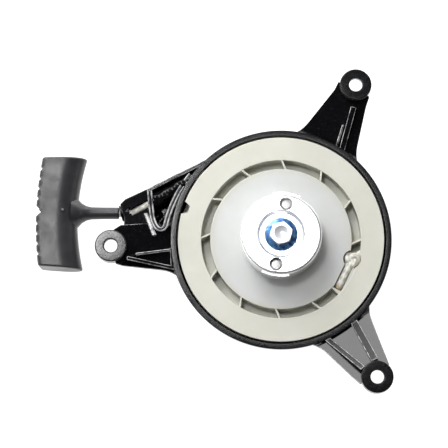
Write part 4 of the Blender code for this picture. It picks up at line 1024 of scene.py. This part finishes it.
# %% [markdown]
# ## Pawl pins
# The pawls turn on two pins, whose round heads show in the sight holes.

# %% Pins
PIN_R, PIN_HEAD_R, PIN_TOP, PIN_HEAD_T = 2.0, 2.8, 45.0, 1.6
pin_profile = [(0, PIN_FLOOR + GAP), (PIN_R, PIN_FLOOR + GAP), (PIN_R, PIN_TOP - PIN_HEAD_T),
               (PIN_HEAD_R, PIN_TOP - PIN_HEAD_T), (PIN_HEAD_R, PIN_TOP), (0, PIN_TOP)]
for number, side in ((1, 0), (2, 180)):
    place = polar(PAWL_R, PAWL_DEG + side)
    pin = round_edges(spun(pin_profile, 40, closed=False), 0.45, 3, 40)
    bmesh.ops.translate(pin, vec=place, verts=pin.verts)
    piece(f"pin_{number}", pin, PIN, "reel", [f"pawl_pin_{number}"])


# %% [markdown]
# ## Rope pieces
# Where the rope shows, it is a real tube with braided strands pressed into its surface. A ring of
# points is pushed along the route, and each point then moves in or out where the strands cross.
# The rings also give the UV map that the rope's finish reads.

# %% Braided rope
STRANDS, WEAVE_PITCH = 6, 1.6


def braided(route, radius, step=0.35, sides=28, relief=0.07):
    """A braided tube along points in metres, closed at both ends."""
    points = [Vector(p) for p in route]
    fine_route = [points[0]]
    for a, b in zip(points, points[1:]):
        count = max(1, round((b - a).length / (step * MM)))
        fine_route += [a.lerp(b, (i + 1) / count) for i in range(count)]
    bm = bmesh.new()
    uv = bm.loops.layers.uv.new("UVMap")
    along_layer = bm.verts.layers.float.new("along")
    around_layer = bm.verts.layers.float.new("around")
    length, ring, frame_turn = 0.0, None, None
    for i, spot in enumerate(fine_route):
        before, after = fine_route[max(i - 1, 0)], fine_route[min(i + 1, len(fine_route) - 1)]
        way = (after - before).normalized()
        if frame_turn is None:
            frame_turn = Vector((0, 0, 1)).rotation_difference(way)
        else:
            frame_turn = last_way.rotation_difference(way) @ frame_turn
            length += (spot - fine_route[i - 1]).length
        last_way = way
        wound = length / (radius * MM) * WEAVE_PITCH
        new_ring = []
        for k in range(sides):
            a = math.tau * k / sides
            weave = math.sin(STRANDS * a / 2 + wound) * math.sin(STRANDS * a / 2 - wound)
            r = radius * MM * (1 - relief + relief * weave)
            vert = bm.verts.new(spot + frame_turn @ Vector((r * math.cos(a), r * math.sin(a), 0)))
            vert[along_layer], vert[around_layer] = wound, STRANDS * a / 2
            new_ring.append(vert)
        if ring is None:
            bm.faces.new(new_ring[::-1])
        else:
            for k in range(sides):
                after_k = (k + 1) % sides
                bm.faces.new((ring[k], ring[after_k], new_ring[after_k], new_ring[k]))
        ring = new_ring
    bm.faces.new(ring)
    for face in bm.faces:
        high = max(loop.vert[around_layer] for loop in face.loops)
        for loop in face.loops:
            around = loop.vert[around_layer]
            if len(face.loops) == 4 and high - around > STRANDS / 4 * math.pi:
                around += STRANDS / 2 * math.tau
            loop[uv].uv = (loop.vert[along_layer], around)
    return bm


def smooth_line(points, count):
    """Points on a Catmull-Rom curve through the given ones."""
    p = [Vector(points[0]) * 2 - Vector(points[1])] + [Vector(q) for q in points]
    p.append(p[-1] * 2 - p[-2])
    line = []
    for i in range(1, len(p) - 2):
        for k in range(count):
            t = k / count
            line.append(0.5 * (2 * p[i] + (p[i + 1] - p[i - 1]) * t
                               + (2 * p[i - 1] - 5 * p[i] + 4 * p[i + 1] - p[i + 2]) * t * t
                               + (3 * p[i] - p[i - 1] - 3 * p[i + 1] + p[i + 2]) * t ** 3))
    return line + [p[-2]]


# %% Rope tail
tail_line = [tail_a - Vector((0, 0, 0.8)) * MM, tail_a.lerp(tail_b, 0.4), tail_b - tail_way * 1.6 * MM]
piece("rope_tail", braided(smooth_line(tail_line, 10), ROPE_R), ROPE, "reel", ["reel_knot"])
seal = rod(tail_b - tail_way * 2.2 * MM, tail_b + tail_way * 0.1 * MM, ROPE_R - 0.15, 24, ROPE_R - 0.5)
piece("rope_sealed_tip", round_edges(seal, 0.4, 3, 40), SEALED, "reel")
lead_end = lead_start - (lead_start - knot_at).normalized() * 2.5 * MM
piece("rope_through_drum", braided([knot_at, lead_end], ROPE_R), ROPE, "reel")

# %% Knot
# The knot is a trefoil: the rope goes round twice while it moves in and out, and up and down,
# three times.
KNOT_STEPS, KNOT_R, KNOT_BULGE, KNOT_RISE, KNOT_ROPE_R = 46, 2.6, 1.05, 1.5, 1.85
knot_center = knot_at + Vector((0, 0, 0.6)) * MM
turns = []
for i in range(KNOT_STEPS):
    t = math.tau * i / KNOT_STEPS
    out = KNOT_R + KNOT_BULGE * math.cos(3 * t)
    spot = Vector((out * math.cos(2 * t), out * math.sin(2 * t), KNOT_RISE * math.sin(3 * t)))
    turns.append(knot_center + spot * MM)
turns.append(turns[0] + Vector((0.01, 0, 0)) * MM)
piece("rope_knot", braided(turns, KNOT_ROPE_R, 0.45, 20), ROPE, "reel")

# %% Straight rope
handle_side = EYELET - Vector((1, 0, 0)) * MM
lead = [LEAVE, LEAVE.lerp(BEND, 0.5), on_rope(3.0), on_rope(0.4), BEND - Vector((2, 0, 0)) * MM, EYELET,
        handle_side]
piece("rope_straight", braided(smooth_line(lead, 5), ROPE_R, 0.5, 24), ROPE, "housing", ["rope_lead"])

# %% [markdown]
# ## Handle
# The handle is a moulded rubber T. Its grip is flat on both faces, round towards the stem and
# toothed on the outside, and it is thinner in the middle than at its ends. A tube of rings is
# drawn along the grip, and each ring is shaped to the section there.

# %% Grip
STEM_END = EYELET.x / MM - 2.2
STEM_L, GRIP_L, GRIP_W, GRIP_H, GRIP_OFF = 23.5, 65.6, 25.2, 22.0, 0.9
GRIP_IN, STEM_Y = STEM_END - STEM_L, EYELET.y / MM
GRIP_OUT = GRIP_IN - GRIP_W
GRIP_Y = STEM_Y - GRIP_OFF
HALF = GRIP_L / 2
BOW_OUT, BOW_IN, IN_BACK, FLAT_SHARE, CORNER = 2.6, 4.6, 1.2, 0.48, 1.6
FIRST_TOOTH, TOOTH_PITCH, TEETH_EACH_WAY, TOOTH_DEPTH, TOOTH_HALF = 7.5, 6.0, 4, 1.5, 1.25
NOTCH_DEPTH, NOTCH_HALF = 4.0, 3.2
TEETH = [s * (FIRST_TOOTH + TOOTH_PITCH * i) for s in (-1, 1) for i in range(TEETH_EACH_WAY)]


def grip_sides(y):
    """Outer side, depth of the notches there and stem side of the grip at a height along it."""
    outer = GRIP_OUT + BOW_OUT * (y / HALF) ** 2
    notch = sum(TOOTH_DEPTH * max(0.0, 1 - abs(y - tooth) / TOOTH_HALF) for tooth in TEETH)
    notch += NOTCH_DEPTH * max(0.0, 1 - abs(y) / NOTCH_HALF)
    return outer, notch, GRIP_IN - IN_BACK + BOW_IN * (y / HALF) ** 2


def section(angle, y):
    """A point of the grip's outline at a height along it: flat outer part, round stem side."""
    outer, notch, inner = grip_sides(y)
    half_h = GRIP_H / 2
    flat = outer + FLAT_SHARE * (inner - outer)
    c, s = math.cos(angle), math.sin(angle)
    if c >= 0:
        return flat + (inner - flat) * c, half_h * s
    square = 1 / max(abs(c), abs(s))
    share = -c * square
    x = flat - (flat - outer) * share
    z = half_h * s * square
    over_x, over_z = (outer + CORNER) - x, abs(z) - (half_h - CORNER)
    reach = math.hypot(over_x, over_z)
    if over_x > 0 and over_z > 0 and reach > CORNER:
        x += over_x * (1 - CORNER / reach)
        z = math.copysign(half_h - CORNER + over_z * CORNER / reach, z)
    return max(x, outer + notch), z


# %% Rings of the grip
SIDES, FINE_STEP, STEP, FINE_FOOT, FINE_TOP = 72, 0.2, 0.42, 1.5, 1.7
stations, y = [], -HALF
while y < HALF - 0.01:
    stations.append(y)
    y += FINE_STEP if y < -HALF + FINE_FOOT or y > HALF - FINE_TOP else STEP
stations.append(HALF)


def by_angle(v):
    """The order of the points round a ring."""
    return math.atan2(v.co.y, v.co.x)


bm = bmesh.new()
ring = bmesh.ops.create_circle(bm, cap_ends=True, segments=SIDES, radius=MM)["verts"]
rings = [sorted(ring, key=by_angle)]
edges = bm.edges[:]
for _ in stations[1:]:
    new = bmesh.ops.extrude_edge_only(bm, edges=edges)["geom"]
    fresh = [g for g in new if isinstance(g, bmesh.types.BMVert)]
    rings.append(sorted(fresh, key=by_angle))
    edges = [g for g in new if isinstance(g, bmesh.types.BMEdge)]
    edges = [e for e in edges if e.verts[0] in fresh and e.verts[1] in fresh]
bmesh.ops.contextual_create(bm, geom=edges)
print("grip:", len(rings), "rings")

# %% Grip shape
END_ROUND, TILT, FLARE = 1.3, math.radians(-1.7), 0.9
pivot = Vector((GRIP_IN, STEM_Y, 0)) * MM
tilt = Matrix.Translation(pivot) @ Matrix.Rotation(TILT, 4, "Z") @ Matrix.Translation(-pivot)
for y, ring in zip(stations, rings):
    inset = 0.0
    from_end = HALF - abs(y)
    if from_end < END_ROUND:
        inset = END_ROUND - math.sqrt(max(0.0, END_ROUND ** 2 - (END_ROUND - from_end) ** 2))
    outer, _, inner = grip_sides(y)
    mid_x = (outer + inner) / 2
    shrink_x, shrink_z = 1 - inset / ((inner - outer) / 2), 1 - inset / (GRIP_H / 2)
    for k, v in enumerate(ring):
        x, z = section(-math.pi + math.tau * (k + 0.5) / SIDES, y)
        flare = FLARE * (x - outer) / (inner - outer) * (y / HALF)
        place = Vector((mid_x + (x - mid_x) * shrink_x, GRIP_Y + y + flare, ROPE_Z + z * shrink_z))
        v.co = tilt @ (place * MM)

KNOT_ROOM_R, KNOT_ROOM_L = 6.6, 15.3
room = rod(Vector((GRIP_OUT - 8, STEM_Y, ROPE_Z)) * MM,
           Vector((GRIP_OUT + KNOT_ROOM_L, STEM_Y, ROPE_Z)) * MM, KNOT_ROOM_R, 48)
grip = carve(bm, [room], 0.3)
piece("handle_grip", grip, RUBBER, "handle", ["handle"], 45)

# %% Stem
STEM_BORE, STEM_PROFILE_L, GATE_R = 2.5, 28, 1.0
stem = spun([(STEM_BORE, 0), (3.1, 0), (3.5, 0.5), (3.55, 10), (3.7, 16.5), (4.4, 19.5), (6.0, 22.2),
             (8.6, 24.6), (9.6, STEM_PROFILE_L), (STEM_BORE, STEM_PROFILE_L)], 48)
stem_end = Matrix.Translation(Vector((STEM_END, STEM_Y, ROPE_Z)) * MM)
stem.transform(stem_end @ Matrix.Rotation(math.radians(-90), 4, "Y"))
piece("handle_stem", stem, RUBBER, "handle")
gate = spun([(0, 0), (GATE_R, 0), (GATE_R - 0.2, 0.35), (0, 0.35)], 24, closed=False)
gate_at = Vector((GRIP_IN - 9.3, STEM_Y + 0.6, ROPE_Z + GRIP_H / 2 - 0.15)) * MM
bmesh.ops.translate(gate, vec=gate_at, verts=gate.verts)
piece("handle_gate_mark", gate, RUBBER, "handle")

# %% Rope in the handle
# This rope runs straight from just outside the eyelet into the handle. It rides on no body.
PULL_DEPTH, BLEND_L = 12.5, 1.4
pull_end = Vector((GRIP_OUT + PULL_DEPTH, STEM_Y, ROPE_Z)) * MM
pull = plain_object("rope_pull_line", braided([handle_side, pull_end], ROPE_R, 0.6, 20))
pull.data.shade_smooth()
pull.data.materials.append(ROPE)
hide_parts("rope_pull")
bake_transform(pull)
print("pulled rope:", len(pull.data.polygons), "faces")

# %% [markdown]
# ## Finishes for the remaining pieces
# The small pieces inside keep their CAD shape and get real finishes: wire, plate and bronze.

# %% Remaining pieces
KEPT = {
    SPRING: ["mainspring", "pawl_spring_1", "pawl_spring_2", "brake_spring", "brake_washer", "pawl_1",
             "pawl_2", "spring_case"],
    BRIGHT: ["thrust_washer", "hub_sleeve", "handle_washer"],
    BRONZE: ["reel_bush"],
    ROPE_WOUND: ["rope_winding", "handle_knot"],
}
SMOOTH_BELOW = math.radians(35)
for material, names in KEPT.items():
    for name in names:
        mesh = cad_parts[name].data
        mesh.materials.clear()
        mesh.materials.append(material)
        mesh.shade_smooth()
        mesh.set_sharp_from_angle(angle=SMOOTH_BELOW)
print("kept:", sum(len(names) for names in KEPT.values()), "nodes")
